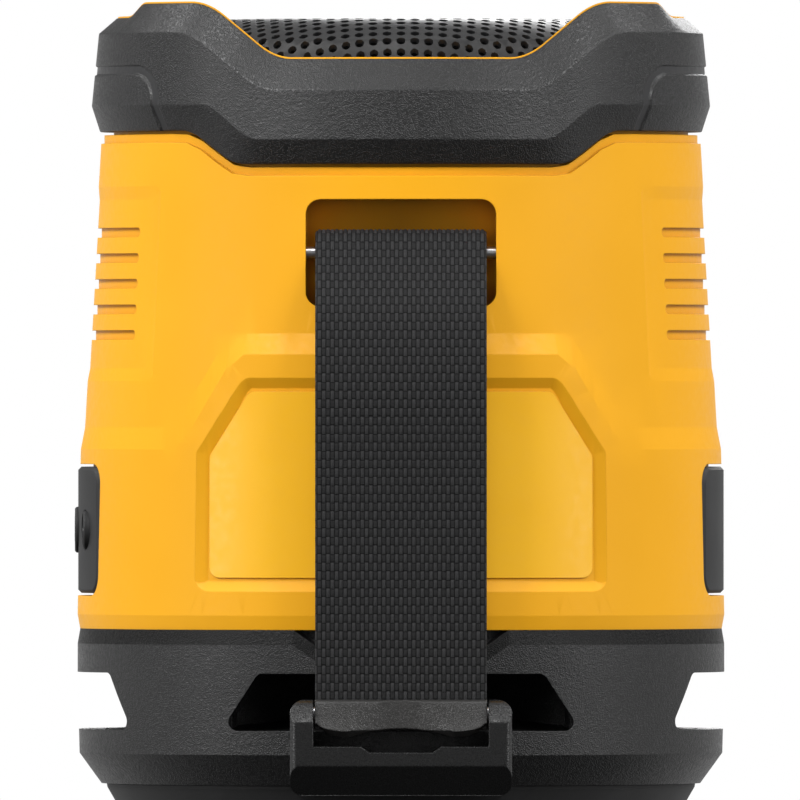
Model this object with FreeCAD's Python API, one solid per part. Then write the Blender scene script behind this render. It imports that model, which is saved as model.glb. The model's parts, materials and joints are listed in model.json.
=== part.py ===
import FreeCAD, Part

import math
import os

from FreeCAD import Vector

# A rugged round mini speaker. Millimetres, +Z up, the rear with the strap faces -Y.
# The origin is the centre of the foot's flat underside. A turn is an angle about Z from the rear
# towards +X, in degrees, and every section is a list of (radius, height) points.

# Heights, stacked from the ground
FOOT_HEIGHT = 4.5
RING_CHAMFER_HEIGHT = 4.7
RING_FLAT_HEIGHT = 3.7
WINDOW_HEIGHT = 8.8
COLLAR_HEIGHT = 6.7
BODY_HEIGHT = 76.7
BUMPER_WALL_LOW = 4.0
BUMPER_WALL_HEIGHT = 11.2
BUMPER_FACET_HEIGHT = 4.5

# The base's radius, and how far in from it the other pieces stand
BASE_RADIUS = 50.0
FOOT_INSET = 4.5
SOLE_INSET = 2.5
RING_LOW_INSET = 3.7
RING_INSET = 0.3
ZONE_TAPER = 0.5
CONE_INSET = 1.15
CONE_TAPER = 2.5
FLANGE_INSET = 0.5
LIP_INSET = 1.45
BAFFLE_INSET = 0.65
BUMPER_SWELL = 1.45
BUMPER_TAPER = 1.1
BUMPER_FOOT_INSET = 1.3

# Walls and clearances
BODY_WALL = 2.6
BASE_WALL = 4.0
FIT = 0.15
SEAM = 0.5
PIN_FIT = 0.03
RUNNING_FIT = 0.06
SOFT_GAP = 0.3

# The wave of the bumper: how far each edge falls at the rear and front, and where it climbs
TOP_FALL = 8.7
UPPER_FALL = 9.0
LOWER_FALL = 5.4
BOTTOM_FALL = 5.2
SIDE_FALL = 2.1
TOP_CLIMB = (26.2, 42.7)
UPPER_CLIMB = (27.8, 44.4)
LOWER_CLIMB = (29.4, 38.1)
BOTTOM_CLIMB = (33.7, 44.0)
SIDE_CLIMB = (65.0, 71.6)
WAVE_BEND = 0.25
BAFFLE_STANDS_PROUD = 0.3
FLANGE_HEIGHT = 1.3
LIP_HEIGHT = 1.1

# The side pad's groove in the bumper
PAD_HALF_WIDTH = 28.2
PAD_TOP_BELOW_CREASE = 6.5
PAD_GROOVE = 1.5
PAD_GROOVE_DEPTH = 0.3
PAD_CORNER = 4.5

# The raised zone of the body, which climbs to a hexagon at the rear and front
ZONE_CHAMFER_HEIGHT = 2.2
ZONE_CHAMFER_DEPTH = 0.4
ZONE_HEIGHT = 27.7
BAND_HEIGHT = 3.4
HEXAGON_RISE = 14.4
HEXAGON_BAND = 3.2
OUTER_CLIMB = (33.2, 45.8)
INNER_CLIMB = (31.3, 43.7)
HEXAGON_BEND = 0.17

# The rating label's recess
LABEL_HALF_WIDTH = 31.5
LABEL_TOP_HALF_WIDTH = 24.4
LABEL_LOW = 5.9
LABEL_HEIGHT = 32.8
LABEL_SHOULDER = 11.4
LABEL_BEND = 0.13
LABEL_DEPTH = 0.8
LABEL_BEVEL = 1.6
LABEL_THICKNESS = 0.2
LABEL_CORNER = 2.2
LABEL_FILM_CORNER = 1.6
LABEL_GAP = 0.5
GLUE = 0.05

# The side grips
GRIP_HALF_TURN = 38.0
GRIP_BEVEL_TURN = 2.7
GRIP_CORNER = 1.7
GRIP_TOP_DROP = 8.5
GRIP_HEIGHT = 30.0
GRIP_DEPTH = 0.27
GRIP_BEVEL = 2.0
GROOVE_COUNT = 5
GROOVE_PITCH = 3.95
GROOVE_HEIGHT = 1.45
GROOVE_DEPTH = 0.6
GROOVE_HALF_TURN = 31.0

# The strap pocket and its pin
POCKET_HALF_WIDTH = 14.6
POCKET_HEIGHT = 16.5
POCKET_TOP_DROP = 10.6
POCKET_DEPTH = 9.6
POCKET_CORNER = 2.3
POCKET_WALL = 2.0
PIN_RADIUS = 0.95
PIN_IN_WALL = 2.6
PIN_BELOW_POCKET_TOP = 8.2
PIN_INSET = 4.7

# The strap
STRAP_WIDTH = 26.3
STRAP_THICKNESS = 2.2
LOOP_GAP = 0.55
STRAP_STANDOFF = 0.55
SEWN_LENGTH = 8.0

# The hook and the bar at the strap's end
HOOK_WIDTH = 34.1
HOOK_TOP = 17.8
HOOK_BOTTOM = 3.1
HOOK_ARM = 3.6
HOOK_TOP_CORNER = 2.3
HOOK_BOTTOM_CORNER = 2.0
HOOK_CLEARANCE = 0.3
HOOK_REACH = 6.4
HOOK_CROSS_TOP = 10.6
HOOK_DIP_DEPTH = 0.9
HOOK_DIP_HALF_WIDTH = 6.1
HOOK_FACET_TOP = 7.6
HOOK_FACET_DEPTH = 2.9
HOOK_BROW = 14.3
HOOK_BROW_DEPTH = 2.4
HOOK_EDGE = 1.4
HOOK_ARM_BACK = 1.9
HOOK_PIN_RADIUS = 0.9
HOOK_PIN_HEIGHT = 15.8
HOOK_PIN_IN_ARM = 1.9
BAR_REACH = 4.75
BAR_COVER = 0.5
BAR_LIP_DROP = 3.0
BAR_LIP = 1.0
BAR_CUSP = 8.04
BAR_ARCH = 1.4
BAR_BAND = 0.8
BAR_LOBE_INSET = 0.6
SCOOP_RADIUS = 28.0
SCOOP_DEPTH_TOP = 0.15
SCOOP_DEPTH = 1.15

# The base's windows, posts and strap channel
WINDOW_TOP_HALF_WIDTH = 21.95
WINDOW_LOW_HALF_WIDTH = 27.65
WINDOW_CORNER = 1.4
FLOOR_THICKNESS = 2.8
FLOOR_STEP_INSET = 12.8
FLOOR_STEP = 1.9
COLUMN_RADIUS = 3.4
COLUMN_INSET = 9.5
COLLAR_CHAMFER_HEIGHT = 2.3
COLLAR_CHAMFER_DEPTH = 0.4
CHANNEL_DROP = 3.6
CHANNEL_CLIMB = (13.2, 19.4)
CHANNEL_DEPTH = 1.9
LEDGE_WIDTH = 2.5
LEDGE_THICKNESS = 1.3

# The cone on the base's floor, with the four ribs that part its rooms
DEFLECTOR_GAP = 0.6
DEFLECTOR_WALL = 1.8
DEFLECTOR_RISE = 3.3
RIB_THICKNESS = 1.6
RIB_BELOW_HEAD = 0.2

# The passive radiator over the base
RADIATOR_FRAME_THICKNESS = 2.0
RADIATOR_HOLE_RADIUS = 27.0
RADIATOR_PLATE_RADIUS = 22.0
RADIATOR_PLATE_THICKNESS = 1.8
ROLL_THICKNESS = 0.5
GLUE_WIDTH = 1.6

# The side pods
POD_HALF_WIDTH = 17.2
POD_HEIGHT = 19.5
POD_BOTTOM = 33.9
POD_CORNER = 2.75
POD_GAP = 0.4
POD_PLATE = 2.2
POD_EDGE = 0.5
POD_INSET = 0.1
POD_LEDGE = 2.2
POD_HOUSING_WALL = 2.0
POD_DEPTH = 5.6

# The keys in the left pod
POWER_KEY_RADIUS = 3.55
POWER_KEY_PROUD = 0.5
VOLUME_KEY_RADIUS = 3.0
VOLUME_KEY_PROUD = 0.3
VOLUME_KEY_PLACE = 10.6
KEY_FIT = 0.1
KEY_FLANGE = 0.9
KEY_FLANGE_THICKNESS = 0.8
KEY_TRAVEL = 0.5
KEY_EDGE = 0.25
SWITCH_SIZE = 3.4
SWITCH_HEIGHT = 1.3
BOARD_THICKNESS = 1.6

# The port behind the right pod's cover
TRAY_WALL = 1.6
SOCKET_WIDTH = 8.94
SOCKET_HEIGHT = 3.26
SOCKET_WALL = 0.35
SOCKET_LENGTH = 7.3
SOCKET_TONGUE = 0.7
TRAY_DEEPER = 2.6
CHARGE_BOARD = (8.0, 18.0)

# The grille
GRILLE_GAP = 0.25
GRILLE_THICKNESS = 0.8
GRILLE_SLOPE = [(14.2, 0.0), (9.7, 0.76), (5.3, 2.66), (0.9, 5.6)]
GRILLE_TOP_BELOW_CORNER = 2.34
GRILLE_PITCH = 8.68
GRILLE_HOLE_RADIUS = 2.3
GRILLE_HOLE_SIDES = 8
GRILLE_BORDER = 2.8
CLOTH_THICKNESS = 0.3

# The yellow baffle that carries the driver
BAFFLE_WALL = 2.5
BAFFLE_SEAT_HEIGHT = 5.1
BAFFLE_PLATE_ABOVE_SEAT = 3.4
BAFFLE_PLATE = 2.6
DRIVER_HOLE_RADIUS = 29.2

# The driver
DRIVER_FLANGE_RADIUS = 35.5
DRIVER_FLANGE = 1.2
GASKET_THICKNESS = 0.4
BASKET_DEPTH = 15.0
BASKET_LOW_RADIUS = 20.6
BASKET_WALL = 1.0
MAGNET_RADIUS = 20.0
MAGNET_HEIGHT = 12.0
POLE_RADIUS = 6.4
COIL_GAP = 1.4
COIL_RADIUS = 7.4
COIL_WALL = 0.6
COIL_LENGTH = 13.0
CONE_DEPTH = 8.6
CONE_EDGE_RADIUS = 24.4
PAPER = 0.5
DUST_CAP_RISE = 2.6
SPIDER_RADIUS = 19.4
SPIDER_WAVES = 2
DRIVER_SCREW_CIRCLE = 33.2

# Screws
SCREW_RADIUS = 1.3
SCREW_HEAD_RADIUS = 2.3
SCREW_HEAD_HEIGHT = 1.5
SCREW_SLOT = 0.6
DRIVER_SCREW_LENGTH = 6.0
BASE_SCREW_LENGTH = 28.0

# The frame inside the body, with the cells and the boards
FRAME_PLATE = 2.0
FRAME_RIM_GAP = 0.3
FRAME_HOLE_RADIUS = 17.0
FRAME_POST_RADIUS = 3.2
CELL_RADIUS = 9.2
CELL_LENGTH = 65.0
CELL_SPACING = 19.0
CELL_ABOVE_PLATE = 0.5
SADDLE_PLACE = 22.0
SADDLE_THICKNESS = 3.0
SADDLE_WRAP = 1.6
TAB_THICKNESS = 0.3
TAB_WIDTH = 7.0
BOARD_ABOVE_CELLS = 4.0
BOARD_INSET = 0.5
RADIO_SIZE = (13.0, 10.0, 2.2)

RAMP_STEP = 4.0

# Radii worked out from the base's
FOOT_RADIUS = BASE_RADIUS - FOOT_INSET
FOOT_SOLE_RADIUS = FOOT_RADIUS - SOLE_INSET
RING_LOW_RADIUS = BASE_RADIUS - RING_LOW_INSET
RING_RADIUS = BASE_RADIUS - RING_INSET
ZONE_HIGH_RADIUS = BASE_RADIUS - ZONE_TAPER
CONE_LOW_RADIUS = BASE_RADIUS - CONE_INSET
CONE_TOP_RADIUS = CONE_LOW_RADIUS - CONE_TAPER
FLANGE_RADIUS = CONE_TOP_RADIUS - FLANGE_INSET
LIP_RADIUS = FLANGE_RADIUS - LIP_INSET
BAFFLE_RADIUS = LIP_RADIUS - BAFFLE_INSET
BUMPER_TOP_RADIUS = BAFFLE_RADIUS + FIT
BUMPER_LOWER_RADIUS = CONE_TOP_RADIUS + BUMPER_SWELL
BUMPER_UPPER_RADIUS = BUMPER_LOWER_RADIUS - BUMPER_TAPER
BUMPER_FOOT_RADIUS = BUMPER_LOWER_RADIUS - BUMPER_FOOT_INSET
BASE_INNER_RADIUS = BASE_RADIUS - BASE_WALL
FLOOR_STEP_RADIUS = BASE_RADIUS - FLOOR_STEP_INSET
COLUMN_CIRCLE = BASE_RADIUS - COLUMN_INSET
LEDGE_RADIUS = BASE_INNER_RADIUS - LEDGE_WIDTH
DEFLECTOR_RADIUS = BASE_INNER_RADIUS - DEFLECTOR_GAP
POD_RADIUS = BASE_RADIUS - POD_INSET
GRILLE_RIM_RADIUS = BAFFLE_RADIUS - BAFFLE_WALL - GRILLE_GAP
MAIN_BOARD_RADIUS = COLUMN_CIRCLE - BOARD_INSET

# Heights worked out from the stack
RING_LOW = FOOT_HEIGHT
RING_CREASE = RING_LOW + RING_CHAMFER_HEIGHT
WINDOW_SILL = RING_CREASE + RING_FLAT_HEIGHT
WINDOW_HEAD = WINDOW_SILL + WINDOW_HEIGHT
BODY_LOW = WINDOW_HEAD + COLLAR_HEIGHT
BUMPER_LOW = BODY_LOW + BODY_HEIGHT
LOWER_CREASE = BUMPER_LOW + BUMPER_WALL_LOW
UPPER_CREASE = LOWER_CREASE + BUMPER_WALL_HEIGHT
BUMPER_TOP = UPPER_CREASE + BUMPER_FACET_HEIGHT
BODY_EDGE = BUMPER_LOW - SEAM - FLANGE_HEIGHT
BAND_LOW = BODY_LOW + ZONE_HEIGHT
BAND_TOP = BAND_LOW + BAND_HEIGHT
BAFFLE_SEAT = BUMPER_LOW - BAFFLE_SEAT_HEIGHT
PLATE_LOW = BAFFLE_SEAT + BAFFLE_PLATE_ABOVE_SEAT
PLATE_TOP = PLATE_LOW + BAFFLE_PLATE
FLOOR_TOP = RING_LOW + FLOOR_THICKNESS
SHELF_TOP = WINDOW_HEAD + LEDGE_THICKNESS
POCKET_TOP = BUMPER_LOW - POCKET_TOP_DROP
POCKET_LOW = POCKET_TOP - POCKET_HEIGHT
PIN_HEIGHT = POCKET_TOP - PIN_BELOW_POCKET_TOP


def cone_radius(z):
    """The body's tapered wall."""
    share = (z - BAND_TOP) / (BODY_EDGE - BAND_TOP)
    return CONE_LOW_RADIUS + (CONE_TOP_RADIUS - CONE_LOW_RADIUS) * share


def zone_radius(z):
    """The raised zone's wall, a little steeper than the taper."""
    share = (z - BODY_LOW - ZONE_CHAMFER_HEIGHT) / (BAND_LOW - BODY_LOW - ZONE_CHAMFER_HEIGHT)
    return BASE_RADIUS + (ZONE_HIGH_RADIUS - BASE_RADIUS) * share


PIN_Y = -(cone_radius(PIN_HEIGHT) - PIN_INSET)
STRAP_Y = -(BASE_RADIUS + STRAP_STANDOFF + STRAP_THICKNESS / 2)


def fold(turn):
    """A turn as the angle from the nearest of the rear and the front, 0 to 90."""
    turn = abs((turn + 180.0) % 360.0 - 180.0)
    return min(turn, 180.0 - turn)


def bent(share, bend):
    """A line that turns up from level at 0, rounded over a bend to each side."""
    if share <= -bend:
        return 0.0
    if share >= bend:
        return share
    return (share + bend) ** 2 / (4.0 * bend)


def climbed(turn, climb, bend):
    """How far a slanted edge has climbed at a turn, 0 to 1, straight as seen from the rear."""
    start, end = (math.sin(math.radians(a)) for a in climb)
    share = (math.sin(math.radians(fold(turn))) - start) / (end - start)
    return bent(share, bend) - bent(share - 1.0, bend)


def reach(climb, bend):
    """The turns between which an edge leaves level, its rounded ends included."""
    start, end = (math.sin(math.radians(a)) for a in climb)
    more = (end - start) * bend
    return math.degrees(math.asin(start - more)), math.degrees(math.asin(end + more))


def reach_of_all(climbs, bend):
    spans = [reach(climb, bend) for climb in climbs]
    return min(span[0] for span in spans), max(span[1] for span in spans)


def polar(radius, turn, z):
    angle = math.radians(turn)
    return Vector(radius * math.sin(angle), -radius * math.cos(angle), z)


def section(points, turn):
    corners = [polar(r, turn, z) for r, z in points]
    return Part.makePolygon(corners + corners[:1])


def ring(points, start=0.0, sweep=360.0):
    """A section turned about Z."""
    face = Part.Face(section(points, start))
    return face.revolve(Vector(0, 0, 0), Vector(0, 0, 1), sweep)


def lofted(section_at, turns):
    """Straight-sided stretches between sections at the given turns."""
    return Part.makeLoft([section(section_at(turn), turn) for turn in turns], True, True)


def steps_between(start, end):
    count = max(1, round((end - start) / RAMP_STEP))
    return [start + (end - start) * i / count for i in range(count + 1)]


def joined(shapes):
    """One solid out of touching solids."""
    return shapes[0].multiFuse(shapes[1:]).removeSplitter()


def wavy_ring(section_at, climbs, poles=(0.0, 180.0)):
    """A ring whose section changes in the climbs, given as turns from each pole."""
    ramps = []
    for pole in poles:
        for start, end in climbs:
            ramps.append((pole + start, pole + end))
            ramps.append((pole - end, pole - start))
    ramps.sort()
    pieces = []
    for i, (start, end) in enumerate(ramps):
        pieces.append(lofted(section_at, steps_between(start, end)))
        after = ramps[(i + 1) % len(ramps)][0]
        if after <= end:
            after += 360.0
        pieces.append(ring(section_at(end + 0.001), end, after - end))
    return joined(pieces)


def rounded_face(corners, radii, place):
    """A flat face with rounded corners; place turns (u, v) into a point."""
    edges = []
    joints = []
    count = len(corners)
    for i, (u, v) in enumerate(corners):
        radius = radii[i] if isinstance(radii, (list, tuple)) else radii
        back = Vector(*corners[i - 1], 0) - Vector(u, v, 0)
        ahead = Vector(*corners[(i + 1) % count], 0) - Vector(u, v, 0)
        half = back.getAngle(ahead) / 2
        middle = (back.normalize() + ahead.normalize()).normalize()
        corner = Vector(u, v, 0)
        if radius <= 0:
            joints.append((corner, corner, corner))
            continue
        reach = radius / math.tan(half)
        centre = corner + middle * (radius / math.sin(half))
        joints.append((corner + back * reach, centre - middle * radius, corner + ahead * reach))
    for i, (first, mid, last) in enumerate(joints):
        if (last - first).Length > 1e-6:
            edges.append(Part.Arc(place(first.x, first.y), place(mid.x, mid.y),
                                  place(last.x, last.y)).toShape())
        following = joints[(i + 1) % count][0]
        if (following - last).Length > 1e-6:
            edges.append(Part.LineSegment(place(last.x, last.y),
                                          place(following.x, following.y)).toShape())
    return Part.Face(Part.Wire(edges))


def prism_x(corners, radii, x0, x1):
    """An outline of (y, z) points carried along X."""
    face = rounded_face(corners, radii, lambda y, z: Vector(x0, y, z))
    return face.extrude(Vector(x1 - x0, 0, 0))


def prism_y(corners, radii, y0, y1):
    """An outline of (x, z) points carried along Y."""
    face = rounded_face(corners, radii, lambda x, z: Vector(x, y0, z))
    return face.extrude(Vector(0, y1 - y0, 0))


def prism_z(corners, radii, z0, z1):
    """An outline of (x, y) points carried upwards."""
    face = rounded_face(corners, radii, lambda x, y: Vector(x, y, z0))
    return face.extrude(Vector(0, 0, z1 - z0))


def turned(shape, angle):
    """A copy turned about Z."""
    copy = shape.copy()
    copy.rotate(Vector(0, 0, 0), Vector(0, 0, 1), angle)
    return copy


def rectangle(half_width, low, high):
    return [(-half_width, low), (half_width, low), (half_width, high), (-half_width, high)]


def rod_x(radius, x0, x1, y, z):
    return Part.makeCylinder(radius, x1 - x0, Vector(x0, y, z), Vector(1, 0, 0))


def rod_y(radius, y0, y1, x, z):
    return Part.makeCylinder(radius, y1 - y0, Vector(x, y0, z), Vector(0, 1, 0))


def rod_z(radius, z0, z1, x=0.0, y=0.0):
    return Part.makeCylinder(radius, z1 - z0, Vector(x, y, z0))


def around(circle, count=4, first=45.0):
    """Points spaced evenly on a circle."""
    return [polar(circle, first + i * 360.0 / count, 0) for i in range(count)]


def edge_heights(turn):
    """The bumper's four edges at a turn: top, upper crease, lower crease and bottom."""
    top = BUMPER_TOP - TOP_FALL * (1.0 - climbed(turn, TOP_CLIMB, WAVE_BEND))
    top -= SIDE_FALL * climbed(turn, SIDE_CLIMB, WAVE_BEND)
    upper = UPPER_CREASE - UPPER_FALL * (1.0 - climbed(turn, UPPER_CLIMB, WAVE_BEND))
    lower = LOWER_CREASE - LOWER_FALL * (1.0 - climbed(turn, LOWER_CLIMB, WAVE_BEND))
    bottom = BUMPER_LOW - BOTTOM_FALL * (1.0 - climbed(turn, BOTTOM_CLIMB, WAVE_BEND))
    return top, upper, lower, bottom


WAVE = reach_of_all([TOP_CLIMB, UPPER_CLIMB, LOWER_CLIMB, BOTTOM_CLIMB], WAVE_BEND)
BUMPER_CLIMBS = [WAVE, reach(SIDE_CLIMB, WAVE_BEND)]


def top_bumper():
    def profile(turn):
        top, upper, lower, bottom = edge_heights(turn)
        rebate = bottom + LIP_HEIGHT + FIT
        return [(BUMPER_TOP_RADIUS, top), (BUMPER_UPPER_RADIUS, upper),
                (BUMPER_LOWER_RADIUS, lower), (BUMPER_FOOT_RADIUS, bottom),
                (LIP_RADIUS + FIT, bottom), (LIP_RADIUS + FIT, rebate),
                (BUMPER_TOP_RADIUS, rebate)]

    bumper = wavy_ring(profile, BUMPER_CLIMBS)
    pad_top = UPPER_CREASE - PAD_TOP_BELOW_CREASE
    low = BUMPER_LOW - BOTTOM_FALL
    reach = BUMPER_LOWER_RADIUS + 1.0
    side = LOWER_CREASE + (LOWER_CREASE - BUMPER_LOW)
    core = ring([(0, low - 1), (BUMPER_FOOT_RADIUS - PAD_GROOVE_DEPTH, BUMPER_LOW),
                 (BUMPER_LOWER_RADIUS - PAD_GROOVE_DEPTH, LOWER_CREASE),
                 (BUMPER_UPPER_RADIUS - PAD_GROOVE_DEPTH, UPPER_CREASE), (0, UPPER_CREASE)])
    for sign in (-1, 1):
        near, far = sorted((sign * reach, sign * BUMPER_TOP_RADIUS * 0.7))
        outer = prism_x(rectangle(PAD_HALF_WIDTH + PAD_GROOVE, low - side, pad_top + PAD_GROOVE),
                        PAD_CORNER, near, far)
        inner = prism_x(rectangle(PAD_HALF_WIDTH, low - side, pad_top), PAD_CORNER, near, far)
        bumper = bumper.cut(outer.cut(inner).cut(core))
    return bumper


def speaker_baffle():
    def profile(turn):
        top = edge_heights(turn)[0] + BAFFLE_STANDS_PROUD
        return [(BAFFLE_RADIUS - BAFFLE_WALL, PLATE_LOW), (BAFFLE_RADIUS, PLATE_LOW),
                (BAFFLE_RADIUS, top), (BAFFLE_RADIUS - BAFFLE_WALL, top)]

    spigot = ring([(BAFFLE_RADIUS - BAFFLE_WALL, BAFFLE_SEAT), (BAFFLE_RADIUS, BAFFLE_SEAT),
                   (BAFFLE_RADIUS, PLATE_LOW), (BAFFLE_RADIUS - BAFFLE_WALL, PLATE_LOW)])
    plate = ring([(DRIVER_HOLE_RADIUS, PLATE_LOW), (BAFFLE_RADIUS - BAFFLE_WALL / 2, PLATE_LOW),
                  (BAFFLE_RADIUS - BAFFLE_WALL / 2, PLATE_TOP), (DRIVER_HOLE_RADIUS, PLATE_TOP)])
    baffle = joined([wavy_ring(profile, BUMPER_CLIMBS), spigot, plate])
    for spot in around(DRIVER_SCREW_CIRCLE):
        baffle = baffle.cut(rod_z(SCREW_RADIUS + PIN_FIT, PLATE_LOW - 1, PLATE_TOP + 1, spot.x, spot.y))
    return baffle


def grille_profile(inset):
    """The dome's line from the middle to the rim, moved down and in by an inset."""
    crown = BUMPER_TOP - GRILLE_TOP_BELOW_CORNER - inset
    share = 1 - inset / GRILLE_RIM_RADIUS
    slope = [((GRILLE_RIM_RADIUS - inside) * share, crown - fall) for inside, fall in GRILLE_SLOPE]
    return [(0.0, crown)] + slope


def grille():
    outer = grille_profile(0.0) + [(GRILLE_RIM_RADIUS, grille_profile(0.0)[-1][1] - 2.0)]
    inner = grille_profile(GRILLE_THICKNESS)
    inner.append((GRILLE_RIM_RADIUS - GRILLE_THICKNESS, outer[-1][1] - GRILLE_THICKNESS / 2))
    skirt = [(GRILLE_RIM_RADIUS, PLATE_TOP), (GRILLE_RIM_RADIUS - GRILLE_THICKNESS, PLATE_TOP)]
    dome = ring(outer + skirt + inner[::-1])
    within = GRILLE_RIM_RADIUS - GRILLE_BORDER
    count = int(within / GRILLE_PITCH)
    top = BUMPER_TOP
    low = grille_profile(0.0)[-1][1] - 5.0
    holes = []
    for i in range(-count, count + 1):
        for j in range(-count, count + 1):
            x, y = i * GRILLE_PITCH, j * GRILLE_PITCH
            if math.hypot(x, y) + GRILLE_HOLE_RADIUS < within:
                rim = [Vector(x + p.x, y + p.y, low) for p in around(GRILLE_HOLE_RADIUS, GRILLE_HOLE_SIDES)]
                outline = Part.makePolygon(rim + rim[:1])
                holes.append(Part.Face(outline).extrude(Vector(0, 0, top - low)))
    return dome.cut(Part.makeCompound(holes))


def grille_cloth():
    outer = grille_profile(GRILLE_THICKNESS + FIT)
    inner = grille_profile(GRILLE_THICKNESS + FIT + CLOTH_THICKNESS)
    del outer[2], inner[2]
    return ring(outer + inner[::-1])


def body_inner():
    """The room inside the body's wall, with the ledge that carries the baffle."""
    ledge_in = BAFFLE_RADIUS - BAFFLE_WALL - 0.3
    bore = BAFFLE_RADIUS + FIT
    ledge_low = BAFFLE_SEAT - BODY_WALL
    return ring([(0, BODY_LOW - 1), (zone_radius(BODY_LOW) - BODY_WALL - 0.4, BODY_LOW - 1),
                 (zone_radius(BAND_LOW) - BODY_WALL - 0.6, BAND_LOW),
                 (cone_radius(ledge_low) - BODY_WALL, ledge_low - BODY_WALL),
                 (ledge_in, ledge_low), (ledge_in, BAFFLE_SEAT), (bore, BAFFLE_SEAT),
                 (bore, BUMPER_TOP), (0, BUMPER_TOP)])


def body_outer():
    """The tapered wall with the raised zone round its lower half."""
    chamfer = BODY_LOW + ZONE_CHAMFER_HEIGHT
    middle = BAND_LOW - BAND_HEIGHT
    taper = ring([(0, middle), (cone_radius(middle), middle),
                  (cone_radius(BUMPER_LOW + LIP_HEIGHT), BUMPER_LOW + LIP_HEIGHT),
                  (0, BUMPER_LOW + LIP_HEIGHT)])
    low = ring([(0, BODY_LOW), (BASE_RADIUS - ZONE_CHAMFER_DEPTH, BODY_LOW),
                (BASE_RADIUS, chamfer), (zone_radius(middle), middle), (0, middle)])
    hexagon_top = BAND_TOP + HEXAGON_RISE
    upper = ring([(CONE_TOP_RADIUS, middle), (zone_radius(middle), middle),
                  (zone_radius(hexagon_top + 4), hexagon_top + 4), (CONE_TOP_RADIUS, hexagon_top + 4)])

    inner_rise = HEXAGON_RISE + BAND_HEIGHT - HEXAGON_BAND

    def kept(turn):
        outer_z = BAND_TOP + HEXAGON_RISE * (1.0 - climbed(turn, OUTER_CLIMB, HEXAGON_BEND))
        flat = BAND_LOW + inner_rise * (1.0 - climbed(turn, INNER_CLIMB, HEXAGON_BEND))
        r0, r1 = cone_radius(outer_z), zone_radius(flat)
        slope = (flat - outer_z) / (r1 - r0)
        near, far = CONE_TOP_RADIUS + 0.2, BASE_RADIUS + 0.6
        return [(near, middle - 8), (far, middle - 8), (far, flat + slope * (far - r1)),
                (near, outer_z + slope * (near - r0))]

    upper = upper.common(wavy_ring(kept, [reach_of_all([INNER_CLIMB, OUTER_CLIMB], HEXAGON_BEND)]))
    return joined([taper, low, upper])


def body_top_cutter():
    """What lies above the body's wavy edge: the flange and the lip stay."""
    def profile(turn):
        bottom = edge_heights(turn)[3]
        flange = bottom - SEAM
        lip = flange + LIP_HEIGHT
        edge = flange - FLANGE_HEIGHT
        inside = BAFFLE_RADIUS - 1.0
        outside = BASE_RADIUS + 2.0
        return [(outside, edge), (FLANGE_RADIUS, edge), (FLANGE_RADIUS, flange),
                (LIP_RADIUS, flange), (LIP_RADIUS, lip), (inside, lip), (inside, BUMPER_TOP),
                (outside, BUMPER_TOP)]

    return wavy_ring(profile, BUMPER_CLIMBS)


def label_recess():
    """The rear recess: bevelled all round, with rounded corners and slanted shoulders."""
    low = BODY_LOW + LABEL_LOW
    high = low + LABEL_HEIGHT
    radius = zone_radius((low + high) / 2)
    outside = BASE_RADIUS + 1.0
    slant = LABEL_HALF_WIDTH - LABEL_TOP_HALF_WIDTH
    lean = math.hypot(slant, LABEL_SHOULDER) / slant

    def profile(turn):
        across = radius * math.sin(math.radians(abs(turn)))
        over = (across - LABEL_TOP_HALF_WIDTH) / slant
        top = high - LABEL_SHOULDER * bent(over, LABEL_BEND)
        into = max(0.0, across - (LABEL_HALF_WIDTH - LABEL_CORNER))
        bottom = low + LABEL_CORNER - math.sqrt(LABEL_CORNER ** 2 - into ** 2)
        share = min(1.0, (LABEL_HALF_WIDTH - across) / LABEL_BEVEL)
        depth = LABEL_DEPTH * share
        sloping = min(1.0, max(0.0, (over + LABEL_BEND) / (2 * LABEL_BEND)))
        under = bottom + LABEL_BEVEL * share
        over_z = top - LABEL_BEVEL * share * (1.0 + (lean - 1.0) * sloping)
        return [(outside, bottom), (zone_radius(bottom), bottom), (zone_radius(under) - depth, under),
                (zone_radius(over_z) - depth, over_z), (zone_radius(top), top), (outside, top)]

    soft = slant * LABEL_BEND
    corner = LABEL_HALF_WIDTH - LABEL_CORNER
    places = [LABEL_TOP_HALF_WIDTH + soft * k for k in (-1.0, -0.4, 0.4, 1.0)]
    places.append((places[-1] + corner) / 2)
    places.append(LABEL_HALF_WIDTH - LABEL_BEVEL)
    places += [corner + LABEL_CORNER * k for k in (0.0, 0.55, 0.8, 0.93, 0.99)]
    turns = [math.degrees(math.asin(place / radius)) for place in sorted(places)]
    pieces = [ring(profile(0.0), -turns[0], 2 * turns[0])]
    for sign in (-1, 1):
        pieces.append(lofted(profile, [sign * t for t in turns]))
    return joined(pieces)


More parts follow.
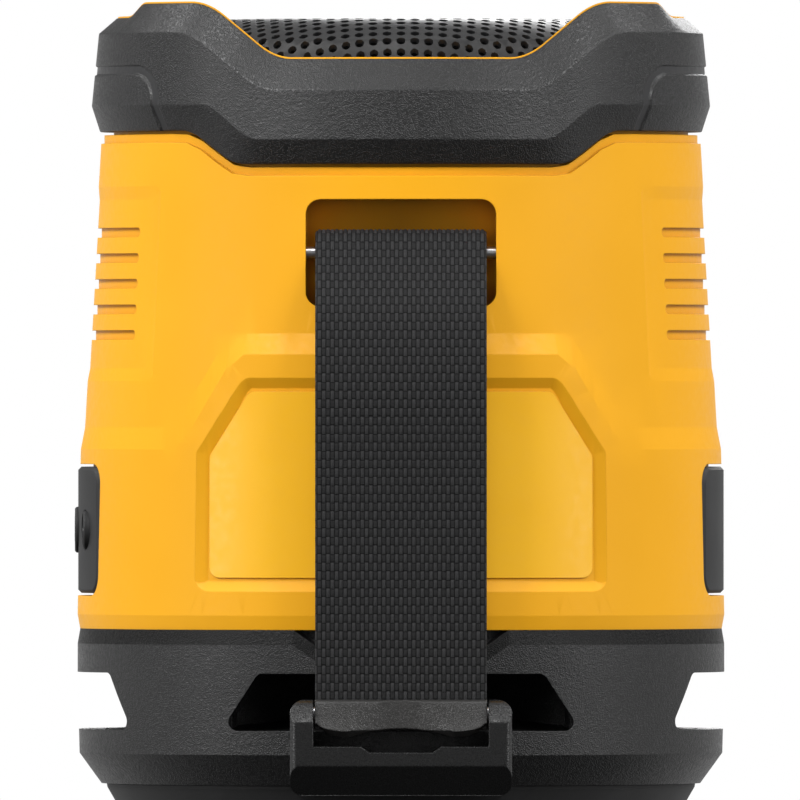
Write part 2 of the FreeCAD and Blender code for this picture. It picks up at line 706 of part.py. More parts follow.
def grip_recess(side):
    """The shallow panel of a side grip, bevelled and rounded at its corners, and its grooves."""
    high = BUMPER_LOW - GRIP_TOP_DROP
    low = high - GRIP_HEIGHT
    outside = BASE_RADIUS + 1.0
    per_turn = math.radians(cone_radius((low + high) / 2))

    def profile(turn):
        off = GRIP_HALF_TURN - abs((turn - side + 180.0) % 360.0 - 180.0)
        share = min(1.0, off / GRIP_BEVEL_TURN)
        into = max(0.0, GRIP_CORNER - off * per_turn)
        rise = GRIP_CORNER - math.sqrt(GRIP_CORNER ** 2 - into ** 2)
        bottom, top = low + rise, high - rise
        under, over = bottom + GRIP_BEVEL * share, top - GRIP_BEVEL * share
        depth = GRIP_DEPTH * share
        return [(outside, bottom), (cone_radius(bottom), bottom), (cone_radius(under) - depth, under),
                (cone_radius(over) - depth, over), (cone_radius(top), top), (outside, top)]

    corner = GRIP_CORNER / per_turn
    edges = sorted({GRIP_BEVEL_TURN} | {corner * k for k in (1.0, 0.5, 0.22, 0.07, 0.01)}, reverse=True)
    flat = GRIP_HALF_TURN - edges[0]
    pieces = [ring(profile(side), side - flat, 2 * flat)]
    for sign in (-1, 1):
        pieces.append(lofted(profile, [side + sign * (GRIP_HALF_TURN - edge) for edge in edges]))
    middle = (high + low) / 2
    floor = GRIP_DEPTH + GROOVE_DEPTH
    half = GROOVE_HEIGHT / 2
    for i in range(GROOVE_COUNT):
        z = middle + (i - (GROOVE_COUNT - 1) / 2) * GROOVE_PITCH
        radius = cone_radius(z) - floor
        turn = GROOVE_HALF_TURN - math.degrees(half / radius)
        pieces.append(ring([(radius, z - half), (outside, z - half), (outside, z + half),
                            (radius, z + half)], side - turn, 2 * turn))
        for sign in (-1, 1):
            way = polar(1.0, side + sign * turn, 0)
            pieces.append(Part.makeCylinder(half, outside - radius, way * radius + Vector(0, 0, z), way))
    return joined(pieces)


def pod_outline(grow):
    """A side pod's rounded outline, larger all round by a gap."""
    low = POD_BOTTOM - grow
    return rectangle(POD_HALF_WIDTH + grow, low, low + POD_HEIGHT + 2 * grow), POD_CORNER + grow


def pod_block(sign, grow, near, far):
    outline, corner = pod_outline(grow)
    x0, x1 = sorted((sign * near, sign * far))
    return prism_x(outline, corner, x0, x1)


def pod_housing(sign):
    """The thick patch of wall that a pod sits in."""
    low, high = POD_BOTTOM - POD_HOUSING_WALL, POD_BOTTOM + POD_HEIGHT + POD_HOUSING_WALL
    inner = POD_RADIUS - POD_DEPTH
    half = math.degrees(math.asin((POD_HALF_WIDTH + POD_HOUSING_WALL) / POD_RADIUS))
    return ring([(inner, low), (POD_RADIUS - POD_PLATE, low), (POD_RADIUS - POD_PLATE, high),
                 (inner, high)], 90.0 * sign - half, 2 * half)


def pod_recess(sign):
    """The seat of a pod's plate and the opening behind it."""
    outline, corner = pod_outline(POD_GAP)
    x0, x1 = sorted((sign * POD_RADIUS * 0.6, sign * (BASE_RADIUS + 2)))
    seat = prism_x(outline, corner, x0, x1)
    seat = seat.cut(rod_z(POD_RADIUS - POD_PLATE - FIT, BODY_LOW, BAND_TOP))
    through = pod_block(sign, -POD_LEDGE, POD_RADIUS * 0.6, BASE_RADIUS + 2)
    return joined([seat, through])


def body_shell():
    pocket_back = -(cone_radius(PIN_HEIGHT) - POCKET_DEPTH)
    housing = prism_y(rectangle(POCKET_HALF_WIDTH + POCKET_WALL, POCKET_LOW - POCKET_WALL,
                                POCKET_TOP + POCKET_WALL), 0,
                      -cone_radius(PIN_HEIGHT), pocket_back + POCKET_WALL)
    housing = housing.common(rod_z(cone_radius(POCKET_TOP) - BODY_WALL / 2, BODY_LOW, BUMPER_LOW))
    shell = body_outer().cut(body_inner())
    shell = joined([shell, housing, pod_housing(1), pod_housing(-1)])
    shell = shell.cut(body_top_cutter())
    shell = shell.cut(label_recess())
    pocket = prism_y(rectangle(POCKET_HALF_WIDTH, POCKET_LOW, POCKET_TOP), POCKET_CORNER,
                     -BASE_RADIUS - 2, pocket_back)
    shell = shell.cut(pocket)
    hole = POCKET_HALF_WIDTH + PIN_IN_WALL + FIT
    shell = shell.cut(rod_x(PIN_RADIUS + PIN_FIT, -hole, hole, PIN_Y, PIN_HEIGHT))
    for sign in (-1, 1):
        shell = shell.cut(grip_recess(90.0 * sign))
        shell = shell.cut(pod_recess(sign))
    return shell


def rating_label():
    """The film on the recess's floor, inside its bevel by a gap."""
    inset = LABEL_BEVEL + LABEL_GAP
    low = BODY_LOW + LABEL_LOW + inset
    high = BODY_LOW + LABEL_LOW + LABEL_HEIGHT - inset
    lean = math.atan2(LABEL_SHOULDER, LABEL_HALF_WIDTH - LABEL_TOP_HALF_WIDTH)
    shoulder = high + inset - LABEL_SHOULDER - inset * math.tan((math.pi / 2 - lean) / 2)
    half = LABEL_HALF_WIDTH - inset
    narrow = LABEL_TOP_HALF_WIDTH - inset * math.tan(lean / 2)
    outline = [(-half, low), (half, low), (half, shoulder), (narrow, high), (-narrow, high),
               (-half, shoulder)]
    back = LABEL_DEPTH - GLUE
    film = ring([(zone_radius(low) - back, low), (zone_radius(low) - back + LABEL_THICKNESS, low),
                 (zone_radius(high) - back + LABEL_THICKNESS, high), (zone_radius(high) - back, high)],
                -45.0, 90.0)
    return film.common(prism_y(outline, LABEL_FILM_CORNER, -BASE_RADIUS - 1, 0))


def strap_pin():
    half = POCKET_HALF_WIDTH + PIN_IN_WALL
    return rod_x(PIN_RADIUS, -half, half, PIN_Y, PIN_HEIGHT)


def unit(dy, dz):
    length = math.hypot(dy, dz)
    return dy / length, dz / length


def strap_run():
    """The webbing's middle line as (y, z): from the loop's tangent down to the end bar."""
    lip = (-(cone_radius(POCKET_LOW) + STRAP_STANDOFF + STRAP_THICKNESS * 0.7), POCKET_LOW - 0.8)
    brow = (STRAP_Y, BAND_TOP + HEXAGON_RISE / 2)
    loop = PIN_RADIUS + LOOP_GAP + STRAP_THICKNESS / 2
    dy, dz = lip[0] - PIN_Y, lip[1] - PIN_HEIGHT
    distance = math.hypot(dy, dz)
    ahead = math.sqrt(distance ** 2 - loop ** 2)
    angle = math.atan2(dz, dy) + math.atan2(loop, ahead)
    start = (lip[0] - ahead * math.cos(angle), lip[1] - ahead * math.sin(angle))
    return [start, lip, brow, (STRAP_Y, HOOK_TOP)]


def ribbon(run, thickness, width):
    """A flat band along a line of (y, z) points, with mitred bends."""
    left, right = [], []
    for i, (y, z) in enumerate(run):
        ways = []
        if i > 0:
            ways.append(unit(y - run[i - 1][0], z - run[i - 1][1]))
        if i < len(run) - 1:
            ways.append(unit(run[i + 1][0] - y, run[i + 1][1] - z))
        dy, dz = unit(sum(w[0] for w in ways), sum(w[1] for w in ways))
        stretch = thickness / 2 / (dy * ways[0][0] + dz * ways[0][1])
        left.append((y - dz * stretch, z + dy * stretch))
        right.append((y + dz * stretch, z - dy * stretch))
    return prism_x(left + right[::-1], 0, -width / 2, width / 2)


def strap():
    run = strap_run()
    loop = PIN_RADIUS + LOOP_GAP
    half = STRAP_WIDTH / 2
    eye = rod_x(loop + STRAP_THICKNESS, -half, half, PIN_Y, PIN_HEIGHT)
    hole = rod_x(loop, -half - 1, half + 1, PIN_Y, PIN_HEIGHT)
    dy, dz = unit(run[1][0] - run[0][0], run[1][1] - run[0][1])
    inward = (-dz, dy)
    if inward[0] < 0:
        inward = (dz, -dy)
    middle = loop + STRAP_THICKNESS / 2
    behind = (PIN_Y + inward[0] * middle, PIN_HEIGHT + inward[1] * middle)
    sewn = (run[0][0] + dy * SEWN_LENGTH + inward[0] * STRAP_THICKNESS,
            run[0][1] + dz * SEWN_LENGTH + inward[1] * STRAP_THICKNESS)
    near = (run[0][0] + dy * SEWN_LENGTH * 0.75 + inward[0] * STRAP_THICKNESS,
            run[0][1] + dz * SEWN_LENGTH * 0.75 + inward[1] * STRAP_THICKNESS)
    front = ribbon(run, STRAP_THICKNESS, STRAP_WIDTH)
    back = ribbon([behind, near, sewn], STRAP_THICKNESS, STRAP_WIDTH)
    return joined([eye, front, back]).cut(hole)


def bar_reach_at(z):
    """How far the end bar's front stands from its pin, within the hook's swing."""
    return math.sqrt(max(0.0, BAR_REACH ** 2 - (z - HOOK_PIN_HEIGHT) ** 2))


def scalloped_wire(y, points, arch):
    """What is cut away below the end bar's lip, at y: two rounded lobes with an arch between them."""
    start, ease, edge, middle, cusp = points
    left = [(start, ease, edge), (edge, middle, cusp)]
    right = [tuple((-a, b) for a, b in reversed(arc)) for arc in reversed(left)]
    arcs = left + [(cusp, (0.0, cusp[1] + arch), (-cusp[0], cusp[1]))] + right
    x, z = start
    far, low = x - 2.0, cusp[1] - 3.0
    edges = []
    for arc in arcs:
        edges.append(Part.Arc(*[Vector(a, y, b) for a, b in arc]).toShape())
    outer = [(-x, z), (-far, z), (-far, low), (far, low), (far, z), (x, z)]
    for near, next_one in zip(outer, outer[1:]):
        line = Part.LineSegment(Vector(near[0], y, near[1]), Vector(next_one[0], y, next_one[1]))
        edges.append(line.toShape())
    return Part.Wire(edges)


def strap_end_bar():
    """The moulded end of the strap: a sloping front with a thumb scoop over a scalloped lip."""
    half = STRAP_WIDTH / 2 + 0.05
    lip_z = HOOK_PIN_HEIGHT - BAR_LIP_DROP
    lip_y = STRAP_Y - bar_reach_at(lip_z) + 0.1
    front = STRAP_Y - STRAP_THICKNESS / 2 - BAR_COVER
    back = STRAP_Y + STRAP_THICKNESS / 2
    side = [(back, HOOK_TOP), (front, HOOK_TOP), (lip_y + 0.95, lip_z + 2.2), (lip_y, lip_z),
            (lip_y + BAR_LIP, lip_z - BAR_BAND), (STRAP_Y - 1.2, HOOK_PIN_HEIGHT - 2.5),
            (STRAP_Y + 0.6, HOOK_PIN_HEIGHT - 2.2), (back, HOOK_PIN_HEIGHT - 1.2)]
    bar = prism_x(side, [0, 0.9, 3.0, 0.15, 0.15, 0, 0, 0], -half, half)
    upper = [(-half - 0.05, lip_z + 1.85), (-half + 0.75, lip_z + 1.1), (-half + 2.2, lip_z + 0.45),
             (-half + 3.7, lip_z + 0.17), (-BAR_CUSP, lip_z + 0.1)]
    lower = [(a + BAR_LOBE_INSET * (0.5 if i == 2 else 1.0), b - BAR_BAND - 0.1)
             for i, (a, b) in enumerate(upper[:4])]
    lower.append((-BAR_CUSP, lip_z - BAR_BAND))
    wires = [scalloped_wire(lip_y - 1.0, upper, BAR_ARCH), scalloped_wire(lip_y + 0.15, upper, BAR_ARCH),
             scalloped_wire(lip_y + BAR_LIP, lower, BAR_ARCH), scalloped_wire(STRAP_Y - 1.3, lower, BAR_ARCH)]
    for near, deeper in zip(wires, wires[1:]):
        bar = bar.cut(Part.makeLoft([near, deeper], True, True))
    top = Vector(0, front + SCOOP_DEPTH_TOP, HOOK_TOP)
    foot = Vector(0, lip_y + SCOOP_DEPTH, lip_z)
    along = (foot - top).normalize()
    outward = Vector(0, along.z, -along.y)
    scoop = Part.makeCylinder(SCOOP_RADIUS, 14, top + outward * SCOOP_RADIUS - along * 4, along)
    bar = bar.cut(scoop)
    return bar.cut(rod_x(HOOK_PIN_RADIUS + PIN_FIT, -half - 1, half + 1, STRAP_Y, HOOK_PIN_HEIGHT))


def base_envelope(clearance):
    """The foot and ring as the hook's claw clears them."""
    return ring([(0, -1), (FOOT_SOLE_RADIUS + clearance, -1), (FOOT_RADIUS + clearance, FOOT_HEIGHT - 0.6),
                 (FOOT_RADIUS + clearance, RING_LOW - clearance),
                 (RING_LOW_RADIUS + clearance / 2, RING_LOW - clearance),
                 (RING_RADIUS + clearance, RING_CREASE - clearance / 2),
                 (BASE_RADIUS + clearance, WINDOW_SILL), (BASE_RADIUS + clearance, BODY_LOW),
                 (0, BODY_LOW)])


def hook():
    half = HOOK_WIDTH / 2
    outline = rectangle(half, HOOK_BOTTOM, HOOK_TOP)
    corners = [HOOK_BOTTOM_CORNER, HOOK_BOTTOM_CORNER, HOOK_TOP_CORNER, HOOK_TOP_CORNER]
    front = -BASE_RADIUS - HOOK_REACH
    deep = -math.sqrt(FOOT_RADIUS ** 2 - half ** 2)
    blank = prism_y(outline, corners, front, deep)
    arm_back = STRAP_Y + HOOK_ARM_BACK
    side = [(deep, HOOK_BOTTOM), (front + HOOK_FACET_DEPTH, HOOK_BOTTOM), (front, HOOK_FACET_TOP),
            (front + 0.15, HOOK_BROW), (front + HOOK_BROW_DEPTH, HOOK_TOP), (arm_back, HOOK_TOP),
            (arm_back, WINDOW_SILL), (deep, WINDOW_SILL)]
    radii = [0, 0.6, 0.4, 1.0, 2.0, 1.4, 0, 0]
    blank = blank.common(prism_x(side, radii, -half, half))
    plan = [(-half, deep), (-half, front), (half, front), (half, deep)]
    edge = HOOK_EDGE
    blank = blank.common(prism_z(plan, [0, edge, edge, 0], HOOK_BOTTOM, HOOK_TOP))
    blank = blank.cut(base_envelope(HOOK_CLEARANCE))
    inside = half - HOOK_ARM
    dip = HOOK_DIP_HALF_WIDTH
    gap = [(-inside, HOOK_TOP + 1), (-inside, HOOK_CROSS_TOP), (-dip, HOOK_CROSS_TOP),
           (-dip + 1.3, HOOK_CROSS_TOP - HOOK_DIP_DEPTH), (dip - 1.3, HOOK_CROSS_TOP - HOOK_DIP_DEPTH),
           (dip, HOOK_CROSS_TOP), (inside, HOOK_CROSS_TOP), (inside, HOOK_TOP + 1)]
    blank = blank.cut(prism_y(gap, 0, front - 1, deep + 1))
    depth = inside + HOOK_PIN_IN_ARM + FIT
    return blank.cut(rod_x(HOOK_PIN_RADIUS + RUNNING_FIT, -depth, depth, STRAP_Y, HOOK_PIN_HEIGHT))


def hook_pin():
    half = HOOK_WIDTH / 2 - HOOK_ARM + HOOK_PIN_IN_ARM
    return rod_x(HOOK_PIN_RADIUS, -half, half, STRAP_Y, HOOK_PIN_HEIGHT)


def base_skirt():
    inner = BASE_INNER_RADIUS
    floor_low = FOOT_HEIGHT - FLOOR_STEP
    wall = ring([(0, floor_low), (FLOOR_STEP_RADIUS - FIT, floor_low), (FLOOR_STEP_RADIUS - FIT, RING_LOW),
                 (RING_LOW_RADIUS, RING_LOW), (RING_RADIUS, RING_CREASE), (BASE_RADIUS, WINDOW_HEAD),
                 (BASE_RADIUS, BODY_LOW), (inner, BODY_LOW), (inner, SHELF_TOP),
                 (LEDGE_RADIUS, SHELF_TOP), (LEDGE_RADIUS, WINDOW_HEAD), (inner, WINDOW_HEAD),
                 (inner, FLOOR_TOP), (0, FLOOR_TOP)])
    columns = []
    for spot in around(COLUMN_CIRCLE):
        columns.append(rod_z(COLUMN_RADIUS, FLOOR_TOP - 1, WINDOW_HEAD + 0.3, spot.x, spot.y))
    skirt = joined([wall] + columns)
    low, high = WINDOW_LOW_HALF_WIDTH, WINDOW_TOP_HALF_WIDTH
    outline = [(-low, WINDOW_SILL), (low, WINDOW_SILL), (high, WINDOW_HEAD), (-high, WINDOW_HEAD)]
    window = prism_y(outline, WINDOW_CORNER, -BASE_RADIUS - 1, -BASE_RADIUS + BASE_WALL * 3)
    for i in range(4):
        skirt = skirt.cut(turned(window, 90 * i))

    def above(turn):
        off = abs((turn + 180.0) % 360.0 - 180.0)
        share = 1.0 - min(1.0, max(0.0, (off - CHANNEL_CLIMB[0]) / (CHANNEL_CLIMB[1] - CHANNEL_CLIMB[0])))
        drop = CHANNEL_DROP * share
        crease = BODY_LOW - COLLAR_CHAMFER_HEIGHT - drop
        back = COLLAR_CHAMFER_DEPTH + CHANNEL_DEPTH
        return [(BASE_RADIUS + 2, crease), (BASE_RADIUS, crease),
                (BASE_RADIUS - COLLAR_CHAMFER_DEPTH, BODY_LOW - drop),
                (BASE_RADIUS - back, BODY_LOW - drop), (BASE_RADIUS - back, BODY_LOW + 2),
                (BASE_RADIUS + 2, BODY_LOW + 2)]

    skirt = skirt.cut(wavy_ring(above, [CHANNEL_CLIMB], poles=(0.0,)))
    for spot in around(COLUMN_CIRCLE):
        skirt = skirt.cut(rod_z(SCREW_RADIUS + PIN_FIT, floor_low - 1, BODY_LOW, spot.x, spot.y))
        skirt = skirt.cut(rod_z(SCREW_HEAD_RADIUS + FIT, 0, RING_LOW + SCREW_HEAD_HEIGHT, spot.x, spot.y))
    return skirt


def foot_pad():
    rim = FOOT_HEIGHT - 0.6
    flare = (FOOT_SOLE_RADIUS + FOOT_RADIUS) / 2
    return ring([(0, 0), (FOOT_SOLE_RADIUS, 0), (flare, 1.9), (FOOT_RADIUS - 0.1, rim),
                 (FOOT_RADIUS, FOOT_HEIGHT), (FLOOR_STEP_RADIUS, FOOT_HEIGHT),
                 (FLOOR_STEP_RADIUS, FOOT_HEIGHT - FLOOR_STEP), (0, FOOT_HEIGHT - FLOOR_STEP)])


def sound_deflector():
    """A shallow cone on a collar, with ribs from its middle towards the four columns."""
    low = FLOOR_TOP
    rim = WINDOW_SILL
    wall = DEFLECTOR_WALL
    cone = ring([(DEFLECTOR_RADIUS, low), (DEFLECTOR_RADIUS, rim), (0, rim + DEFLECTOR_RISE),
                 (0, rim + DEFLECTOR_RISE - wall), (DEFLECTOR_RADIUS - wall, rim - wall),
                 (DEFLECTOR_RADIUS - wall, low)])
    reach_out = COLUMN_CIRCLE - COLUMN_RADIUS - FIT
    root = rim - wall / 2
    end = root + DEFLECTOR_RISE * (1.0 - reach_out / DEFLECTOR_RADIUS)
    top = WINDOW_HEAD - RIB_BELOW_HEAD
    side = [(-reach_out, end), (0, root + DEFLECTOR_RISE), (reach_out, end), (reach_out, top),
            (-reach_out, top)]
    rib = prism_y(side, 0, -RIB_THICKNESS / 2, RIB_THICKNESS / 2)
    cone = joined([cone, turned(rib, 45), turned(rib, -45)])
    for spot in around(COLUMN_CIRCLE):
        cone = cone.cut(rod_z(COLUMN_RADIUS + FIT, low - 1, rim + DEFLECTOR_RISE, spot.x, spot.y))
    return cone


def roll(inner, outer, z, thickness, glue):
    """A half-round rubber roll between two glued lands."""
    middle = (inner + outer) / 2
    radius = (outer - inner) / 2
    arc = [math.pi * i / 5 for i in range(6)]
    over = [(middle - radius * math.cos(a), z + radius * math.sin(a)) for a in arc]
    under = [(middle - (radius - thickness) * math.cos(a), z + (radius - thickness) * math.sin(a))
             for a in arc]
    outside = [(inner - glue, z), (inner - glue, z + thickness)]
    inside = [(outer + glue, z + thickness), (outer + glue, z)]
    over = [p for p in over if p[1] > z + thickness]
    return ring(outside + over + inside + under[::-1])


def radiator_frame():
    outer = BASE_INNER_RADIUS - FIT
    plate = ring([(RADIATOR_HOLE_RADIUS, SHELF_TOP), (outer, SHELF_TOP),
                  (outer, SHELF_TOP + RADIATOR_FRAME_THICKNESS),
                  (RADIATOR_HOLE_RADIUS, SHELF_TOP + RADIATOR_FRAME_THICKNESS)])
    for spot in around(COLUMN_CIRCLE):
        plate = plate.cut(rod_z(SCREW_RADIUS + PIN_FIT, SHELF_TOP - 1, BODY_LOW, spot.x, spot.y))
    return plate


def radiator_surround():
    return roll(RADIATOR_PLATE_RADIUS + 0.2, RADIATOR_HOLE_RADIUS,
                SHELF_TOP + RADIATOR_FRAME_THICKNESS, ROLL_THICKNESS, GLUE_WIDTH)


def radiator_plate():
    top = SHELF_TOP + RADIATOR_FRAME_THICKNESS
    plate = rod_z(RADIATOR_PLATE_RADIUS, top - RADIATOR_PLATE_THICKNESS, top)
    weight = rod_z(RADIATOR_PLATE_RADIUS * 0.45, top - 0.1, top + 1.2)
    return joined([plate, weight])


def base_screws():
    head_low = RING_LOW
    screws = []
    for spot in around(COLUMN_CIRCLE):
        head = rod_z(SCREW_HEAD_RADIUS, head_low, head_low + SCREW_HEAD_HEIGHT, spot.x, spot.y)
        slot = Part.makeBox(2 * SCREW_HEAD_RADIUS, SCREW_SLOT, 0.8,
                            Vector(spot.x - SCREW_HEAD_RADIUS, spot.y - SCREW_SLOT / 2, head_low))
        shank = rod_z(SCREW_RADIUS, head_low + 0.8, head_low + BASE_SCREW_LENGTH, spot.x, spot.y)
        screws.append(joined([head, shank]).cut(slot))
    return Part.makeCompound(screws)


def body_seal():
    """A rubber ring between the base's rim and the frame's plate."""
    inner = BASE_INNER_RADIUS
    low = SHELF_TOP + RADIATOR_FRAME_THICKNESS
    return ring([(inner - 1.6, low), (inner - FIT, low), (inner - FIT, BODY_LOW), (inner - 1.6, BODY_LOW)])


def inner_frame():
    low = BODY_LOW
    rim = zone_radius(BODY_LOW) - BODY_WALL - 0.4 - FRAME_RIM_GAP
    plate = ring([(FRAME_HOLE_RADIUS, low), (rim, low), (rim, low + FRAME_PLATE),
                  (FRAME_HOLE_RADIUS, low + FRAME_PLATE)])
    middle = low + FRAME_PLATE + CELL_ABOVE_PLATE + CELL_RADIUS
    board_low = middle + CELL_RADIUS + BOARD_ABOVE_CELLS
    pieces = [plate]
    for spot in around(COLUMN_CIRCLE):
        pieces.append(rod_z(FRAME_POST_RADIUS, low + FRAME_PLATE / 2, board_low, spot.x, spot.y))
    half = CELL_SPACING / 2 + CELL_RADIUS + SADDLE_WRAP
    for y in (-SADDLE_PLACE, SADDLE_PLACE):
        pieces.append(prism_y(rectangle(half, low + FRAME_PLATE / 2, middle + 2.0), 0,
                              y - SADDLE_THICKNESS / 2, y + SADDLE_THICKNESS / 2))
    frame = joined(pieces)
    for x in (-CELL_SPACING / 2, CELL_SPACING / 2):
        frame = frame.cut(rod_y(CELL_RADIUS + FIT, -CELL_LENGTH, CELL_LENGTH, x, middle))
    screw_top = RING_LOW + BASE_SCREW_LENGTH
    for spot in around(COLUMN_CIRCLE):
        frame = frame.cut(rod_z(SCREW_RADIUS + PIN_FIT, low - 1, screw_top + 1, spot.x, spot.y))
    return frame


def cell_height():
    return BODY_LOW + FRAME_PLATE + CELL_ABOVE_PLATE + CELL_RADIUS


def battery_cells():
    """Two round cells side by side along Y, each with a nub at one end."""
    cells = []
    for x in (-CELL_SPACING / 2, CELL_SPACING / 2):
        can = rod_y(CELL_RADIUS, -CELL_LENGTH / 2, CELL_LENGTH / 2 - 1.0, x, cell_height())
        nub = rod_y(CELL_RADIUS * 0.3, CELL_LENGTH / 2 - 1.2, CELL_LENGTH / 2, x, cell_height())
        cells.append(joined([can, nub]))
    return Part.makeCompound(cells)


def battery_tabs():
    half = CELL_SPACING / 2 + TAB_WIDTH / 2
    low, high = cell_height() - TAB_WIDTH / 2, cell_height() + TAB_WIDTH / 2
    end = CELL_LENGTH / 2
    plus = prism_y(rectangle(half, low, high), 1.0, end, end + TAB_THICKNESS)
    minus = prism_y(rectangle(half, low, high), 1.0, -end - TAB_THICKNESS, -end)
    return Part.makeCompound([plus, minus])


def main_board_low():
    return cell_height() + CELL_RADIUS + BOARD_ABOVE_CELLS


def main_board():
    low = main_board_low()
    board = rod_z(MAIN_BOARD_RADIUS, low, low + BOARD_THICKNESS)
    top = low + BOARD_THICKNESS
    chips = [Part.makeBox(9, 9, 1.2, Vector(-18, 8, top - 0.01)),
             Part.makeBox(6, 5, 1.1, Vector(10, 12, top - 0.01)),
             rod_z(3.2, top - 0.01, top + 8, -14, -14),
             rod_z(3.2, top - 0.01, top + 8, -6, -18),
             Part.makeBox(8, 4.5, 6, Vector(16, -16, top - 0.01))]
    return joined([board] + chips)


def radio_module():
    wide, deep, tall = RADIO_SIZE
    top = main_board_low() + BOARD_THICKNESS
    can = Part.makeBox(wide, deep, tall, Vector(-wide / 2, 22 - deep / 2, top))
    return can.makeFillet(0.5, [e for e in can.Edges if e.BoundBox.ZLength > tall / 2])


def driver_top():
    return PLATE_TOP + GASKET_THICKNESS + DRIVER_FLANGE


def driver_gasket():
    return ring([(DRIVER_HOLE_RADIUS, PLATE_TOP), (DRIVER_SCREW_CIRCLE - SCREW_RADIUS - 0.5, PLATE_TOP),
                 (DRIVER_SCREW_CIRCLE - SCREW_RADIUS - 0.5, PLATE_TOP + GASKET_THICKNESS),
                 (DRIVER_HOLE_RADIUS, PLATE_TOP + GASKET_THICKNESS)])


def driver_basket():
    top = driver_top()
    low = top - BASKET_DEPTH
    rim = DRIVER_HOLE_RADIUS - 0.4
    step = low + 4.0
    basket = ring([(DRIVER_FLANGE_RADIUS, top), (DRIVER_FLANGE_RADIUS, top - DRIVER_FLANGE),
                   (rim, top - DRIVER_FLANGE), (BASKET_LOW_RADIUS + 1.5, step), (BASKET_LOW_RADIUS, low),
                   (POLE_RADIUS + COIL_GAP + 0.6, low), (POLE_RADIUS + COIL_GAP + 0.6, low + BASKET_WALL),
                   (SPIDER_RADIUS - 0.9, low + BASKET_WALL), (SPIDER_RADIUS - 0.9, step),
                   (BASKET_LOW_RADIUS + 0.3, step), (rim - BASKET_WALL, top - DRIVER_FLANGE),
                   (rim - BASKET_WALL, top)])
    for spot in around(DRIVER_SCREW_CIRCLE):
        basket = basket.cut(rod_z(SCREW_RADIUS + 2 * PIN_FIT, low, top + 1, spot.x, spot.y))
    return basket


def driver_magnet():
    top = driver_top() - BASKET_DEPTH
    low = top - MAGNET_HEIGHT
    yoke = 3.0
    gap = POLE_RADIUS + COIL_GAP
    return ring([(0, low), (MAGNET_RADIUS - 2.0, low), (MAGNET_RADIUS - 2.0, low + yoke),
                 (MAGNET_RADIUS, low + yoke), (MAGNET_RADIUS, top - 2.4), (MAGNET_RADIUS - 1.5, top - 2.4),
                 (MAGNET_RADIUS - 1.5, top), (gap, top), (gap, low + yoke), (POLE_RADIUS, low + yoke),
                 (POLE_RADIUS, top + 0.8), (0, top + 0.8)])


def cone_low():
    return driver_top() - CONE_DEPTH


def voice_coil():
    top = cone_low() + 0.6
    return ring([(COIL_RADIUS - COIL_WALL, top - COIL_LENGTH), (COIL_RADIUS, top - COIL_LENGTH),
                 (COIL_RADIUS, top), (COIL_RADIUS - COIL_WALL, top)])


def driver_cone():
    low, high = cone_low(), driver_top() - ROLL_THICKNESS / 2
    inner = COIL_RADIUS + 0.05
    return ring([(inner, low), (CONE_EDGE_RADIUS, high - PAPER), (CONE_EDGE_RADIUS + 1.4, high - PAPER),
                 (CONE_EDGE_RADIUS + 1.4, high - 0.02), (CONE_EDGE_RADIUS, high - 0.02),
                 (inner, low + PAPER)])


def dust_cap():
    low = cone_low() + 0.95
    edge = COIL_RADIUS + 0.9
    rise = DUST_CAP_RISE
    return ring([(edge, low), (edge * 0.6, low + rise * 0.7), (0, low + rise),
                 (0, low + rise - PAPER), (edge * 0.6, low + rise * 0.7 - PAPER), (edge - 0.9, low)])


def driver_surround():
    return roll(CONE_EDGE_RADIUS + 1.2, DRIVER_HOLE_RADIUS - 0.6, driver_top(), ROLL_THICKNESS, 1.2)


def driver_spider():
    top = driver_top() - BASKET_DEPTH + 4.4
    inner = COIL_RADIUS + 0.05
    step = (SPIDER_RADIUS - inner) / (2 * SPIDER_WAVES)
    over = []
    for i in range(2 * SPIDER_WAVES + 1):
        over.append((inner + i * step, top + (0.7 if i % 2 else 0.0)))
    under = [(r, z - 0.4) for r, z in over[::-1]]
    land = [(BASKET_LOW_RADIUS, top), (BASKET_LOW_RADIUS, top - 0.4)]
    return ring(over + land + under)


def driver_screws():
    top = driver_top()
    screws = []
    for spot in around(DRIVER_SCREW_CIRCLE):
        head = rod_z(SCREW_HEAD_RADIUS, top, top + SCREW_HEAD_HEIGHT, spot.x, spot.y)
        shank = rod_z(SCREW_RADIUS, top - DRIVER_SCREW_LENGTH, top + 0.4, spot.x, spot.y)
        slot = Part.makeBox(2 * SCREW_HEAD_RADIUS, SCREW_SLOT, 0.8,
                            Vector(spot.x - SCREW_HEAD_RADIUS, spot.y - SCREW_SLOT / 2,
                                   top + SCREW_HEAD_HEIGHT - 0.8))
        screws.append(joined([head, shank]).cut(slot))
    return Part.makeCompound(screws)


def pod_plate(sign):
    """A pod's visible plate, in line with the body's wall and rounded at its edge."""
    block = pod_block(sign, 0.0, POD_RADIUS * 0.6, BASE_RADIUS + 2)
    low, high = POD_BOTTOM - 1, POD_BOTTOM + POD_HEIGHT + 1
    half = 26.0
    shell = ring([(POD_RADIUS - POD_PLATE, low), (POD_RADIUS, low), (POD_RADIUS, high),
                  (POD_RADIUS - POD_PLATE, high)], 90.0 * sign - half, 2 * half)
    plate = block.common(shell)
    rim = [e for e in plate.Edges if e.BoundBox.ZLength < 4 * POD_CORNER or e.BoundBox.YLength < 0.1]
    outer = []
    for edge in rim:
        middle = edge.valueAt((edge.FirstParameter + edge.LastParameter) / 2)
        if abs(math.hypot(middle.x, middle.y) - POD_RADIUS) < 0.01:
            outer.append(edge)
    return plate.makeChamfer(POD_EDGE, outer)


